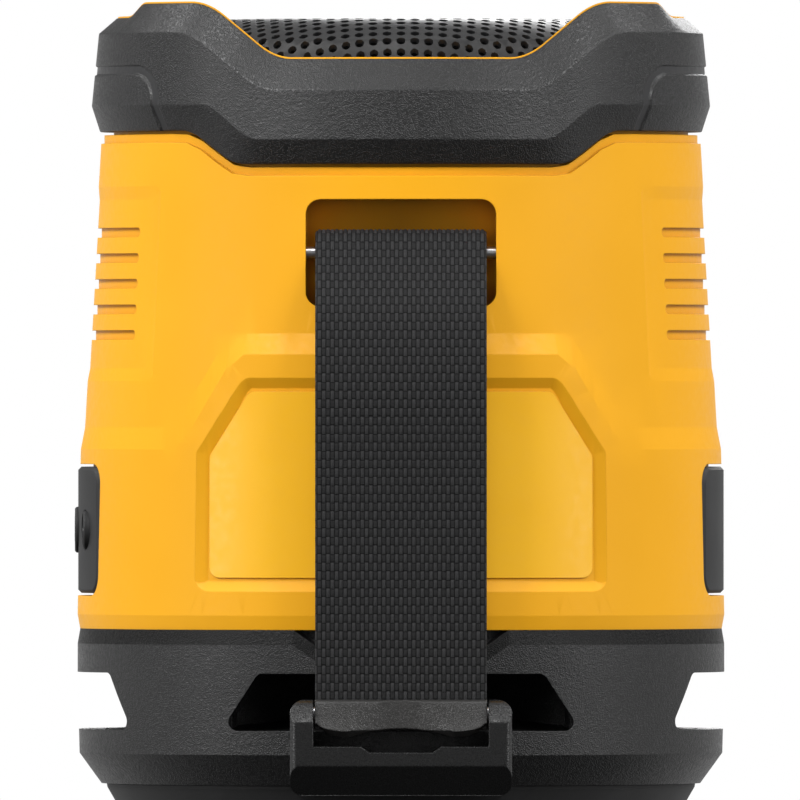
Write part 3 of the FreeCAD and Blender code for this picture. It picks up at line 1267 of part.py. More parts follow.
def key_places():
    """Name, place along Y, radius and how far each key stands out."""
    return [("power_button", 0.0, POWER_KEY_RADIUS, POWER_KEY_PROUD),
            ("volume_down_button", -VOLUME_KEY_PLACE, VOLUME_KEY_RADIUS, VOLUME_KEY_PROUD),
            ("volume_up_button", VOLUME_KEY_PLACE, VOLUME_KEY_RADIUS, VOLUME_KEY_PROUD)]


KEY_MIDDLE = POD_BOTTOM + POD_HEIGHT / 2
KEY_BACK = POD_RADIUS - POD_DEPTH


def key_bezel():
    plate = pod_plate(-1)
    spigot = pod_block(-1, -POD_LEDGE - FIT, KEY_BACK, POD_RADIUS)
    spigot = spigot.common(rod_z(POD_RADIUS - POD_PLATE + 0.1, BODY_LOW, BAND_TOP))
    bezel = joined([plate, spigot])
    for _, y, radius, _ in key_places():
        bezel = bezel.cut(rod_x(radius + KEY_FIT, -BASE_RADIUS - 2, -KEY_BACK + 2, y, KEY_MIDDLE))
    return bezel


def key(y, radius, proud):
    face = math.sqrt(POD_RADIUS ** 2 - y ** 2) + proud
    stem = rod_x(radius, -face, -KEY_BACK + 0.1, y, KEY_MIDDLE)
    rim = [e for e in stem.Edges if abs(e.BoundBox.XMin + face) < 0.01 and e.BoundBox.XLength < 0.01]
    stem = stem.makeChamfer(KEY_EDGE, rim)
    flange = rod_x(radius + KEY_FLANGE, -KEY_BACK + 0.1, -KEY_BACK + 0.1 + KEY_FLANGE_THICKNESS,
                   y, KEY_MIDDLE)
    return joined([stem, flange])


def key_board():
    """The board behind the keys, held by two stand-offs of the bezel's side, with its switches."""
    face = -KEY_BACK + 0.1 + KEY_FLANGE_THICKNESS + KEY_TRAVEL + 0.1
    board_x = face + SWITCH_HEIGHT
    outline, corner = pod_outline(-POD_LEDGE - 0.6)
    board = prism_x(outline, corner, board_x, board_x + BOARD_THICKNESS)
    pieces = [board]
    half = SWITCH_SIZE / 2
    for _, y, _, _ in key_places():
        pieces.append(prism_x([(y - half, KEY_MIDDLE - half), (y + half, KEY_MIDDLE - half),
                               (y + half, KEY_MIDDLE + half), (y - half, KEY_MIDDLE + half)], 0,
                              face, board_x + 0.01))
    for y in (-VOLUME_KEY_PLACE / 2, VOLUME_KEY_PLACE / 2):
        for z in (KEY_MIDDLE - 5.6, KEY_MIDDLE + 5.6):
            pieces.append(rod_x(0.9, -KEY_BACK, board_x + 0.01, y, z))
    return joined(pieces)


def port_cover():
    return pod_plate(1)


def port_tray():
    inner = KEY_BACK - TRAY_DEEPER
    outer = pod_block(1, -POD_LEDGE - FIT, inner, POD_RADIUS)
    outer = outer.common(rod_z(POD_RADIUS - POD_PLATE - SOFT_GAP, BODY_LOW, BAND_TOP))
    room = pod_block(1, -POD_LEDGE - FIT - TRAY_WALL, inner + TRAY_WALL, POD_RADIUS)
    tray = outer.cut(room)
    slot = rectangle(SOCKET_WIDTH / 2 + 0.1, KEY_MIDDLE - SOCKET_HEIGHT / 2 - 0.1,
                     KEY_MIDDLE + SOCKET_HEIGHT / 2 + 0.1)
    return tray.cut(prism_x(slot, SOCKET_HEIGHT / 2, inner - 1, inner + TRAY_WALL + 1))


def usb_socket():
    face = KEY_BACK - TRAY_DEEPER + TRAY_WALL
    low, high = KEY_MIDDLE - SOCKET_HEIGHT / 2, KEY_MIDDLE + SOCKET_HEIGHT / 2
    half = SOCKET_WIDTH / 2
    wall = SOCKET_WALL
    can = prism_x(rectangle(half, low, high), SOCKET_HEIGHT / 2 - 0.05, face - SOCKET_LENGTH, face)
    room = prism_x(rectangle(half - wall, low + wall, high - wall), SOCKET_HEIGHT / 2 - wall - 0.05,
                   face - SOCKET_LENGTH + 1.0, face + 1)
    tongue = prism_x(rectangle(half - 1.2, KEY_MIDDLE - SOCKET_TONGUE / 2, KEY_MIDDLE + SOCKET_TONGUE / 2),
                     0, face - SOCKET_LENGTH + 0.5, face - 0.8)
    return joined([can.cut(room), tongue])


def charge_board():
    face = KEY_BACK - TRAY_DEEPER
    top = KEY_MIDDLE - SOCKET_HEIGHT / 2
    long, wide = CHARGE_BOARD
    return Part.makeBox(long, wide, BOARD_THICKNESS, Vector(face - long, -wide / 2, top - BOARD_THICKNESS))


PARTS = {
    "foot_pad": foot_pad,
    "base_skirt": base_skirt,
    "sound_deflector": sound_deflector,
    "base_screws": base_screws,
    "radiator_frame": radiator_frame,
    "radiator_surround": radiator_surround,
    "radiator_plate": radiator_plate,
    "body_seal": body_seal,
    "inner_frame": inner_frame,
    "battery_cells": battery_cells,
    "battery_tabs": battery_tabs,
    "main_board": main_board,
    "radio_module": radio_module,
    "body_shell": body_shell,
    "rating_label": rating_label,
    "speaker_baffle": speaker_baffle,
    "top_bumper": top_bumper,
    "grille": grille,
    "grille_cloth": grille_cloth,
    "driver_gasket": driver_gasket,
    "driver_basket": driver_basket,
    "driver_magnet": driver_magnet,
    "driver_cone": driver_cone,
    "voice_coil": voice_coil,
    "dust_cap": dust_cap,
    "driver_surround": driver_surround,
    "driver_spider": driver_spider,
    "driver_screws": driver_screws,
    "key_bezel": key_bezel,
    "key_board": key_board,
    "port_cover": port_cover,
    "port_tray": port_tray,
    "usb_socket": usb_socket,
    "charge_board": charge_board,
    "strap_pin": strap_pin,
    "strap": strap,
    "strap_end_bar": strap_end_bar,
    "hook_pin": hook_pin,
    "hook": hook,
}


def main():
    os.makedirs("parts", exist_ok=True)
    for name, make in PARTS.items():
        make().exportStep("parts/" + name + ".step")
    for name, y, radius, proud in key_places():
        key(y, radius, proud).exportStep("parts/" + name + ".step")


main()
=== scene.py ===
import json
import math

import bmesh
import bpy
import numpy as np
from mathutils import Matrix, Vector
from mathutils.geometry import delaunay_2d_cdt

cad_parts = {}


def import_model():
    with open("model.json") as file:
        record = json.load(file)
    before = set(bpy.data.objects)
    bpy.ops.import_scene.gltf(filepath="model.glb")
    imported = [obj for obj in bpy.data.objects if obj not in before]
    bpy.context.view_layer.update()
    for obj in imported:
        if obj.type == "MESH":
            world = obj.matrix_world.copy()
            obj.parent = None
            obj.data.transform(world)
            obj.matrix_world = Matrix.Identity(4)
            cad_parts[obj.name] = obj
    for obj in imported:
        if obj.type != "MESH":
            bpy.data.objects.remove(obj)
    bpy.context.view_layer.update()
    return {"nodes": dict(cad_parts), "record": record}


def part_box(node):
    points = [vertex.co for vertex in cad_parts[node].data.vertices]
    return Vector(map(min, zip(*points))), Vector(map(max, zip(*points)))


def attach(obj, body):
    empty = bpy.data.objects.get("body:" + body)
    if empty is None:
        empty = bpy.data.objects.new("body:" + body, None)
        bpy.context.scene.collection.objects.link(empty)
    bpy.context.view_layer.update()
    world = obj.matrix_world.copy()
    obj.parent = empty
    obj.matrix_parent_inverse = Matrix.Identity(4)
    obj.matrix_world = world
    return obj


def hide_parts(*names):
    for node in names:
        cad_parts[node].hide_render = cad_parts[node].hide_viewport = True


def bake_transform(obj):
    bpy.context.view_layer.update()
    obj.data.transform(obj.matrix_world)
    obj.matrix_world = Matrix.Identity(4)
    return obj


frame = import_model()
NODES = frame["nodes"]
MM = 0.001


# Shader helpers

MIX_FACTOR, MIX_FIRST, MIX_SECOND, MIX_RESULT = 0, 6, 7, 2      # a colour Mix node's sockets, by number


class Graph:
    """A tree of shader nodes that are made one by one; inputs are sockets or plain values."""

    def __init__(self, tree):
        self.tree = tree

    def node(self, kind, settings=None, **inputs):
        """A new node; an input is named with _ for a space, or by its number."""
        made = self.tree.nodes.new(kind)
        for key, value in (settings or {}).items():
            setattr(made, key, value)
        for key, value in inputs.items():
            self.feed(made, key.replace("_", " "), value)
        return made

    def feed(self, node, key, value):
        """Links a socket to a node's input, or sets the input to a value."""
        socket = node.inputs[int(key)] if key.isdigit() else node.inputs[key]
        if isinstance(value, bpy.types.NodeSocket):
            self.tree.links.new(value, socket)
        else:
            socket.default_value = value

    def math(self, operation, a, b=0.0):
        return self.node("ShaderNodeMath", {"operation": operation}, **{"0": a, "1": b}).outputs[0]

    def ramp(self, value, low, high, first=0.0, last=1.0, kind="SMOOTHSTEP"):
        """Goes from first to last as the value goes from low to high."""
        made = self.node("ShaderNodeMapRange", {"interpolation_type": kind}, Value=value,
                         From_Min=low, From_Max=high, To_Min=first, To_Max=last)
        return made.outputs["Result"]

    def mix(self, factor, a, b, kind="MIX"):
        """A colour between a and b, or a blend of both of another kind."""
        made = self.node("ShaderNodeMix", {"data_type": "RGBA", "blend_type": kind})
        self.feed(made, str(MIX_FACTOR), factor)
        for index, value in ((MIX_FIRST, a), (MIX_SECOND, b)):
            self.feed(made, str(index), value if isinstance(value, bpy.types.NodeSocket) else (*value, 1))
        return made.outputs[MIX_RESULT]


class Surface(Graph):
    """A material on one Principled shader, with its patterns laid in the object's own coordinates."""

    def __init__(self, name, colour, roughness, metallic=0.0, specular=0.5):
        self.material = bpy.data.materials.new(name)
        self.material.use_nodes = True
        super().__init__(self.material.node_tree)
        self.shader = self.tree.nodes["Principled BSDF"]
        self.shader.inputs["Base Color"].default_value = (*colour, 1)
        self.shader.inputs["Roughness"].default_value = roughness
        self.shader.inputs["Metallic"].default_value = metallic
        self.shader.inputs["Specular IOR Level"].default_value = specular
        self.place = self.node("ShaderNodeTexCoord").outputs["Object"]

    def noise(self, per_mm, detail=2.0, roughness=0.5, place=None):
        made = self.node("ShaderNodeTexNoise", Vector=place or self.place, Detail=detail,
                         Roughness=roughness, Scale=per_mm / MM)
        return made.outputs["Fac"]

    def colour(self, value):
        self.feed(self.shader, "Base Color", value)

    def roughness(self, value):
        self.feed(self.shader, "Roughness", value)

    def relief(self, height, depth, strength=1.0, edge=0.25):
        """Surface relief of a depth in mm over softly rounded edges of a radius in mm."""
        bump = self.node("ShaderNodeBump", Height=height, Strength=strength, Distance=depth * MM)
        if edge:
            bevel = self.node("ShaderNodeBevel", {"samples": 4}, Radius=edge * MM)
            self.feed(bump, "Normal", bevel.outputs["Normal"])
        self.feed(self.shader, "Normal", bump.outputs["Normal"])


def scaled(colour, share):
    return tuple(c * share for c in colour)


def yellow_moulding():
    """Yellow plastic, a little cloudy, with painted shade that darkens its colour in creases and recesses
    where other faces hide it.
    """
    s = Surface("yellow_moulding", (0.91, 0.425, 0.008), 0.45, specular=0.16)
    cloud = s.noise(0.035, 3.0)
    plain = s.mix(s.ramp(cloud, 0.35, 0.65), (0.90, 0.418, 0.011), (0.925, 0.434, 0.014))
    # Painted shade: an ambient occlusion mask mixes the colour towards dark brown in creases, recesses and
    # under other parts.
    occlusion_shade = s.node("ShaderNodeAmbientOcclusion", {"samples": 4}, Distance=2.5 * MM)
    s.colour(s.mix(s.ramp(occlusion_shade.outputs["AO"], 0.3, 0.97), (0.60, 0.27, 0.012), plain))
    s.roughness(s.ramp(s.noise(0.9, 3.0), 0.3, 0.7, 0.41, 0.51))
    s.relief(s.noise(2.6, 2.5, 0.6), 0.018, 0.5, 0.25)
    return s.material


def pebbled_moulding(name, colour, roughness, depth=0.05, scale=4.6, edge=0.12, specular=0.5, painted_pebble_shade=0.4):
    """Black plastic with the fine sparkling relief of a pebbled mould, its pebble tops painted lighter and
    its hollows darker as painted highlight and shade.
    """
    s = Surface(name, colour, roughness, specular=specular)
    pebbles = s.node("ShaderNodeTexVoronoi", {"feature": "SMOOTH_F1"}, Vector=s.place, Smoothness=0.4,
                     Scale=scale / MM)
    bumps = s.ramp(pebbles.outputs["Distance"], 0.05, 0.6, 1.0, 0.0)
    grain = s.math("ADD", bumps, s.noise(scale * 0.4, 0.0))
    # Painted highlight and shade: the colour follows the pebbles' height, lighter on their tops and darker
    # in their hollows.
    s.colour(s.mix(bumps, scaled(colour, 1 - painted_pebble_shade), scaled(colour, 1 + 1.4 * painted_pebble_shade)))
    s.roughness(s.ramp(s.noise(1.7, 2.0), 0.3, 0.7, roughness - 0.05, roughness + 0.06))
    s.relief(grain, depth, 1.0, edge)
    return s.material


def smooth_moulding(name, colour, roughness, edge=0.25):
    """Plastic or a coat of paint with only a faint unevenness."""
    s = Surface(name, colour, roughness)
    s.colour(s.mix(s.ramp(s.noise(0.08, 3.0), 0.35, 0.65), colour, scaled(colour, 1.2)))
    s.roughness(s.ramp(s.noise(0.8, 3.0), 0.3, 0.7, roughness - 0.04, roughness + 0.06))
    s.relief(s.noise(3.0, 2.0), 0.012, 0.5, edge)
    return s.material


def rubber(name, colour):
    """Dull rubber with dusty patches."""
    s = Surface(name, colour, 0.62, specular=0.4)
    s.colour(s.mix(s.ramp(s.noise(0.12, 4.0), 0.4, 0.7), colour, scaled(colour, 1.35)))
    s.relief(s.noise(2.2, 2.0, 0.5), 0.03, 0.6, 0.3)
    return s.material


def metal(name, colour, roughness, brushed=(60.0, 1.5, 60.0)):
    """Brushed metal; its lines run along the axis with the smallest number."""
    s = Surface(name, colour, roughness, metallic=1.0)
    stretch = s.node("ShaderNodeMapping", Vector=s.place, Scale=brushed)
    lines = s.noise(0.12, 3.0, 0.6, place=stretch.outputs["Vector"])
    s.roughness(s.ramp(lines, 0.3, 0.7, roughness - 0.06, roughness + 0.1))
    s.colour(s.mix(lines, scaled(colour, 0.85), colour))
    s.relief(lines, 0.004, 0.4, 0.1)
    return s.material


def webbing():
    """Woven tape: raised warp floats in two staggered sets over a flat weft, in tape coordinates, with
    painted shade in the grooves between floats and along their sides.
    """
    s = Surface("woven_webbing", (0.02, 0.02, 0.02), 0.68, specular=0.18)
    uv = s.node("ShaderNodeUVMap", {"uv_map": "tape"}).outputs["UV"]

    def from_middle(value):
        return s.math("ABSOLUTE", s.math("SUBTRACT", s.math("FRACT", value), 0.5))

    def threads(stretch):
        lay = s.node("ShaderNodeMapping", Vector=uv, Scale=stretch).outputs["Vector"]
        return s.node("ShaderNodeTexNoise", Vector=lay, Scale=1.0, Detail=2.0).outputs["Color"]

    parts = s.node("ShaderNodeSeparateXYZ", Vector=uv)
    across, along = parts.outputs["X"], parts.outputs["Y"]
    stagger = s.math("MULTIPLY", s.math("FLOORED_MODULO", s.math("FLOOR", along), 2.0), 0.5)
    column, in_row = from_middle(s.math("ADD", across, stagger)), from_middle(along)
    warp = s.ramp(column, 0.17, 0.23, 1.0, 0.0)
    groove = s.math("MULTIPLY", s.ramp(column, 0.20, 0.27), s.ramp(in_row, 0.32, 0.42))
    side = s.math("MULTIPLY", s.ramp(column, 0.17, 0.21), s.ramp(column, 0.26, 0.33, 1.0, 0.0))
    # Painted shade: the grooves between the floats and the floats' sides are darkened in the colour; the
    # same mask also sinks the relief.
    crevice_shade = s.math("MAXIMUM", groove, side)
    yarn = s.mix(warp, threads((3.0, 22.0, 1.0)), threads((34.0, 6.0, 1.0)))
    tone = s.mix(warp, (0.0165, 0.0165, 0.017), (0.031, 0.031, 0.032))
    tone = s.mix(crevice_shade, tone, (0.003, 0.003, 0.0032))
    grey = s.node("ShaderNodeRGBToBW", Color=yarn).outputs["Val"]
    shade = s.mix(s.ramp(grey, 0.3, 0.7), (0.72, 0.72, 0.72), (1.25, 1.25, 1.25))
    s.colour(s.mix(1.0, tone, shade, "MULTIPLY"))
    height = s.math("ADD", s.math("MULTIPLY", grey, 0.35), s.math("MULTIPLY", crevice_shade, -0.6))
    s.relief(height, 0.12, 0.9, 0.0)
    s.shader.inputs["Sheen Weight"].default_value = 0.03
    s.shader.inputs["Sheen Roughness"].default_value = 0.5
    return s.material


def cloth(name, colour):
    """A dark, open fabric of small cells."""
    s = Surface(name, colour, 0.9, specular=0.1)
    weave = s.node("ShaderNodeTexVoronoi", Vector=s.place, Scale=3.0 / MM).outputs["Distance"]
    s.colour(s.mix(weave, colour, scaled(colour, 1.8)))
    s.relief(weave, 0.05, 0.5, 0.0)
    return s.material


def label_film():
    """Plain yellow film, a little glossier than the body."""
    s = Surface("label_film", (0.98, 0.50, 0.012), 0.34, specular=0.3)
    s.colour(s.mix(s.ramp(s.noise(0.05, 2.0), 0.35, 0.65), (0.97, 0.49, 0.010), (0.99, 0.515, 0.014)))
    s.roughness(s.ramp(s.noise(0.6, 3.0), 0.3, 0.7, 0.30, 0.40))
    s.relief(s.noise(1.2, 3.0), 0.008, 0.4, 0.1)
    return s.material


def circuit_board():
    """Green lacquer with paler lines between dark fields."""
    s = Surface("circuit_board", (0.02, 0.13, 0.06), 0.4)
    brick = s.node("ShaderNodeTexBrick", Vector=s.place, Scale=0.35 / MM, Color1=(0.02, 0.12, 0.055, 1),
                   Color2=(0.02, 0.14, 0.065, 1), Mortar=(0.03, 0.20, 0.09, 1))
    s.colour(brick.outputs["Color"])
    s.relief(s.noise(1.5, 2.0), 0.01, 0.4, 0.1)
    return s.material


SURFACES = {
    "yellow_plastic": yellow_moulding(),
    "black_plastic": pebbled_moulding("black_moulding", (0.013, 0.013, 0.0133), 0.40),
    "black_rubber": rubber("black_rubber", (0.020, 0.020, 0.0205)),
    "grille_steel": smooth_moulding("grille_coat", (0.012, 0.012, 0.0125), 0.34, 0.1),
    "bright_steel": metal("bright_steel", (0.72, 0.72, 0.74), 0.32, (1.5, 60.0, 60.0)),
    "webbing": webbing(),
    "cloth": cloth("grille_cloth", (0.003, 0.003, 0.003)),
    "label_film": label_film(),
    "circuit_board": circuit_board(),
    "cell_wrap": smooth_moulding("cell_wrap", (0.05, 0.14, 0.30), 0.3),
    "nickel": metal("nickel", (0.66, 0.63, 0.56), 0.3),
    "magnet_steel": metal("magnet_steel", (0.45, 0.45, 0.46), 0.35),
    "basket_metal": smooth_moulding("basket_coat", (0.03, 0.03, 0.032), 0.4),
    "paper_cone": cloth("treated_paper", (0.03, 0.03, 0.03)),
    "screw_steel": metal("screw_steel", (0.16, 0.16, 0.17), 0.4),
    "frame_plastic": smooth_moulding("frame_moulding", (0.020, 0.020, 0.021), 0.42, 0.15),
}

# Surfaces beside those of the record's slots: the hook and the end bar are satin, the end bar's lighter as
# painted light where it tilts up, the slanted collar of the base ring is a darker, duller black as painted
# shade under the body, and the keys carry white print.
SATIN = pebbled_moulding("satin_moulding", (0.008, 0.008, 0.0082), 0.27, 0.014, 4.2, 0.3, painted_pebble_shade=0.3)
# Painted light: the end bar is the hook's satin in a lighter black, for the light it catches as it tilts up.
SATIN_BAR_LIT = pebbled_moulding("satin_bar_painted_light", (0.031, 0.030, 0.029), 0.34, 0.018, 4.6, 0.3,
                             painted_pebble_shade=0.3)
# Painted shade: a darker, less glossy black for the base ring's collar under the body.
COLLAR_SHADE = pebbled_moulding("collar_painted_shade", (0.006, 0.006, 0.006), 0.42, specular=0.2)
MARK = smooth_moulding("white_print", (0.70, 0.70, 0.70), 0.5, 0.0)
NODE_SURFACES = {"hook": SATIN, "strap_end_bar": SATIN_BAR_LIT}


# Mesh helpers

# Triangles that meet at less than the first angle, in degrees, are shaded as one face, and where one of
# them is slimmer than the width in mm, at less than the second.
SMOOTH_ANGLE, SLIM_ANGLE, SLIM_WIDTH = 5.5, 19.0, 0.9


def corner_normals(obj):
    """Shades a CAD node smooth over its curved faces and crisp at its edges; the mesh stays as it is."""
    mesh = obj.data
    if any(p.loop_total != 3 for p in mesh.polygons):
        return
    co = np.zeros(len(mesh.vertices) * 3)
    mesh.vertices.foreach_get("co", co)
    co = co.reshape(-1, 3)
    index = np.zeros(len(mesh.polygons) * 3, np.int64)
    mesh.loops.foreach_get("vertex_index", index)
    _, weld = np.unique(np.round(co, 7), axis=0, return_inverse=True)
    corner = weld.reshape(-1)[index]
    tri = co[index.reshape(-1, 3)]
    sides = np.roll(tri, -1, 1) - tri
    cross = np.cross(sides[:, 0], -sides[:, 2])
    area = np.linalg.norm(cross, axis=1)
    normal = cross / np.maximum(area, 1e-20)[:, None]
    lengths = np.linalg.norm(sides, axis=2)
    width = area / np.maximum(lengths.max(1), 1e-12)
    before = -np.roll(sides, 1, 1)
    cosine = (sides * before).sum(2) / np.maximum(lengths * np.roll(lengths, 1, 1), 1e-20)
    angle = np.arccos(np.clip(cosine, -1, 1)).reshape(-1)
    order = np.argsort(corner, kind="stable")
    ends = np.flatnonzero(np.diff(corner[order])) + 1
    result = np.repeat(normal, 3, axis=0)
    near, wide = math.cos(math.radians(SMOOTH_ANGLE)), math.cos(math.radians(SLIM_ANGLE))
    for group in np.split(order, ends):
        if len(group) < 2:
            continue
        faces = group // 3
        n, w = normal[faces], width[faces]
        dot = n @ n.T
        slim = np.minimum(w[:, None], w[None, :]) < SLIM_WIDTH * MM
        same = (dot > near) | ((dot > wide) & slim)
        result[group] = (same * angle[group][None, :]) @ n
    length = np.linalg.norm(result, axis=1)
    result = np.where(length[:, None] > 1e-9, result / np.maximum(length, 1e-9)[:, None],
                      np.repeat(normal, 3, axis=0))
    for polygon in mesh.polygons:
        polygon.use_smooth = True
    mesh.normals_split_custom_set(result.tolist())


def placed(name, data):
    """A new object in the scene."""
    obj = bpy.data.objects.new(name, data)
    bpy.context.scene.collection.objects.link(obj)
    return obj


def shaded(mesh, sharp):
    """Smooth shading with edges that turn by more than an angle in degrees kept sharp."""
    for polygon in mesh.polygons:
        polygon.use_smooth = True
    mesh.set_sharp_from_angle(angle=math.radians(sharp))


def made_mesh(name, verts, faces, body, slot, sharp):
    """A new piece from points in mm."""
    mesh = bpy.data.meshes.new(name)
    mesh.from_pydata((np.asarray(verts, float) * MM).tolist(), [], faces)
    mesh.validate()
    mesh.update()
    obj = placed(name, mesh)
    shaded(mesh, sharp)
    mesh.materials.append(SURFACES[slot])
    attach(obj, body)
    return obj


def second_surface(obj, surface, chosen):
    """Gives the faces whose corners are all chosen another surface."""
    obj.data.materials.append(surface)
    for polygon in obj.data.polygons:
        if chosen[list(polygon.vertices)].all():
            polygon.material_index = 1


def grid_faces(rows, columns, wrap_rows=False, wrap_columns=False):
    """Quads over a grid of points laid row by row."""
    last_row = rows if wrap_rows else rows - 1
    last_column = columns if wrap_columns else columns - 1
    r, c = np.meshgrid(np.arange(last_row), np.arange(last_column), indexing="ij")
    r1, c1 = (r + 1) % rows, (c + 1) % columns
    quads = np.stack([r * columns + c, r * columns + c1, r1 * columns + c1, r1 * columns + c], -1)
    return quads.reshape(-1, 4).tolist()


def rows_at(turn, corners):
    """Rings of (radius, height) over the turns; a height is one number or one for each turn."""
    return [np.stack([np.full_like(turn, radius), np.broadcast_to(height, turn.shape)], -1)
            for radius, height in corners]


def rounded_chain(corners, setbacks, fractions):
    """Points along a closed chain of corners, each corner rounded, with rows between them."""
    count = len(corners)
    rows = []
    ends = []
    for i in range(count):
        back, here, ahead = corners[i - 1], corners[i], corners[(i + 1) % count]
        u = (back - here) / np.linalg.norm(back - here, axis=-1, keepdims=True)
        v = (ahead - here) / np.linalg.norm(ahead - here, axis=-1, keepdims=True)
        start, stop = here + u * setbacks[i], here + v * setbacks[i]
        ends.append((start, here, stop))
    for i in range(count):
        start, here, stop = ends[i]
        for t in (0.0, 0.25, 0.5, 0.75, 1.0):
            rows.append(start * (1 - t) ** 2 + here * 2 * t * (1 - t) + stop * t * t)
        following = ends[(i + 1) % count][0]
        for f in fractions[i]:
            rows.append(stop + (following - stop) * f)
    return rows


def swept(chain, turn):
    """A closed chain of (radius, height) rows, one for each turn, as points about Z."""
    angle = np.radians(turn)[:, None]
    radius, height = chain[..., 0], chain[..., 1]
    return np.stack([radius * np.sin(angle), -radius * np.cos(angle), height], -1)


# The bumper and the baffle, in mm and degrees; a turn of 0 is the rear

BUMPER_TOP, UPPER_CREASE, LOWER_CREASE, BUMPER_LOW = 124.8, 120.3, 109.1, 105.1
TOP_RADIUS, UPPER_RADIUS, LOWER_RADIUS, FOOT_RADIUS, LIP_RADIUS = 43.9, 46.7, 47.8, 46.5, 44.55
REBATE = 1.25

# Each edge dips at the rear and the front: how deep, and the turns between which it climbs again. The
# last one is the top's own sinking towards the two sides.
TOP_DIP, UPPER_DIP = (8.7, 26.2, 42.7), (9.0, 27.8, 44.4)
LOWER_DIP, FOOT_DIP = (5.4, 29.4, 38.1), (5.2, 33.7, 44.0)
SIDE_DIP = (2.1, 65.0, 71.6)
BEND = 0.25                                 # a climb's share that each of its bends is rounded over

# The side pads: a rounded outline with a narrow groove round it
PAD_HALF, PAD_TOP, PAD_CORNER = 28.2, 113.8, 4.5
GROOVE_DEPTH, GROOVE_WIDTH, GROOVE_WALL, GROOVE_FLOOR = 0.3, 1.5, 0.14, 0.28
GROOVE_BESIDE, GROOVE_OUTSIDE = 20, 45.6    # the least distance from the middle plane, and radius
GROOVE_ROWS = np.array([115.45, 115.3, 115.12, 114.9, 114.55, 114.2, 113.98, 113.8, 113.65])
GROOVE_TURNS, GROOVE_CLEAR = (28.0, 41.5), 0.2
TURN_STEP, FINE_STEP = 0.8, 0.22
RING_SHARP = 50

BAFFLE_RADIUS, BAFFLE_WALL, BAFFLE_PROUD, BAFFLE_SLANT = 43.75, 2.5, 0.25, 2.6
PLATE_LOW, PLATE_TOP, BAFFLE_SEAT, DRIVER_HOLE = 103.4, 106.0, 100.0, 29.2
LINING_EDGE = 1.6                           # the dark lining ends this far outside the inner wall


def bent(share):
    """A line that turns up from level at 0, rounded over a bend to each side."""
    return np.where(share <= -BEND, 0, np.where(share >= BEND, share, (share + BEND) ** 2 / (4 * BEND)))


def climbed(turn, start, end):
    """How far a slanted edge has climbed at each turn, from 0 to 1."""
    fold = np.abs((turn + 180.0) % 360.0 - 180.0)
    fold = np.minimum(fold, 180.0 - fold)
    a, b = math.sin(math.radians(start)), math.sin(math.radians(end))
    share = (np.sin(np.radians(fold)) - a) / (b - a)
    return bent(share) - bent(share - 1)


def dipped(turn, height, dip):
    """An edge's height at each turn: its full height less the dip that it hasn't climbed out of."""
    depth, start, end = dip
    return height - depth * (1 - climbed(turn, start, end))


def bumper_edges(turn):
    """The heights of the bumper's top, upper crease, lower crease and lower edge."""
    depth, start, end = SIDE_DIP
    return (dipped(turn, BUMPER_TOP, TOP_DIP) - depth * climbed(turn, start, end),
            dipped(turn, UPPER_CREASE, UPPER_DIP), dipped(turn, LOWER_CREASE, LOWER_DIP),
            dipped(turn, BUMPER_LOW, FOOT_DIP))


def baffle():
    """The yellow ring whose thin edge shows above the bumper, with its plate and spigot."""
    turn = np.arange(0, 360, TURN_STEP)
    top = bumper_edges(turn)[0] + BAFFLE_PROUD
    inside = BAFFLE_RADIUS - BAFFLE_WALL
    corners = rows_at(turn, [(BAFFLE_RADIUS, BAFFLE_SEAT), (BAFFLE_RADIUS, top),
                             (inside, top - BAFFLE_SLANT), (inside, PLATE_TOP),
                             (DRIVER_HOLE, PLATE_TOP), (DRIVER_HOLE, PLATE_LOW),
                             (inside, PLATE_LOW), (inside, BAFFLE_SEAT)])
    fractions = [[0.5], [0.3, 0.7], np.linspace(0.1, 0.9, 6)] + [[0.5]] * 5
    chain = np.stack(rounded_chain(corners, [0.1, 0.08, 0.8, 0.3, 0.2, 0.2, 0.1, 0.1], fractions), 1)
    points = swept(chain, turn)
    faces = grid_faces(len(turn), chain.shape[1], True, True)
    obj = made_mesh("baffle_ring", points.reshape(-1, 3), faces, "case", "yellow_plastic", RING_SHARP)
    radius = np.hypot(points[..., 0], points[..., 1]).reshape(-1)
    second_surface(obj, SURFACES["cloth"], radius < inside + LINING_EDGE)
    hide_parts("speaker_baffle")


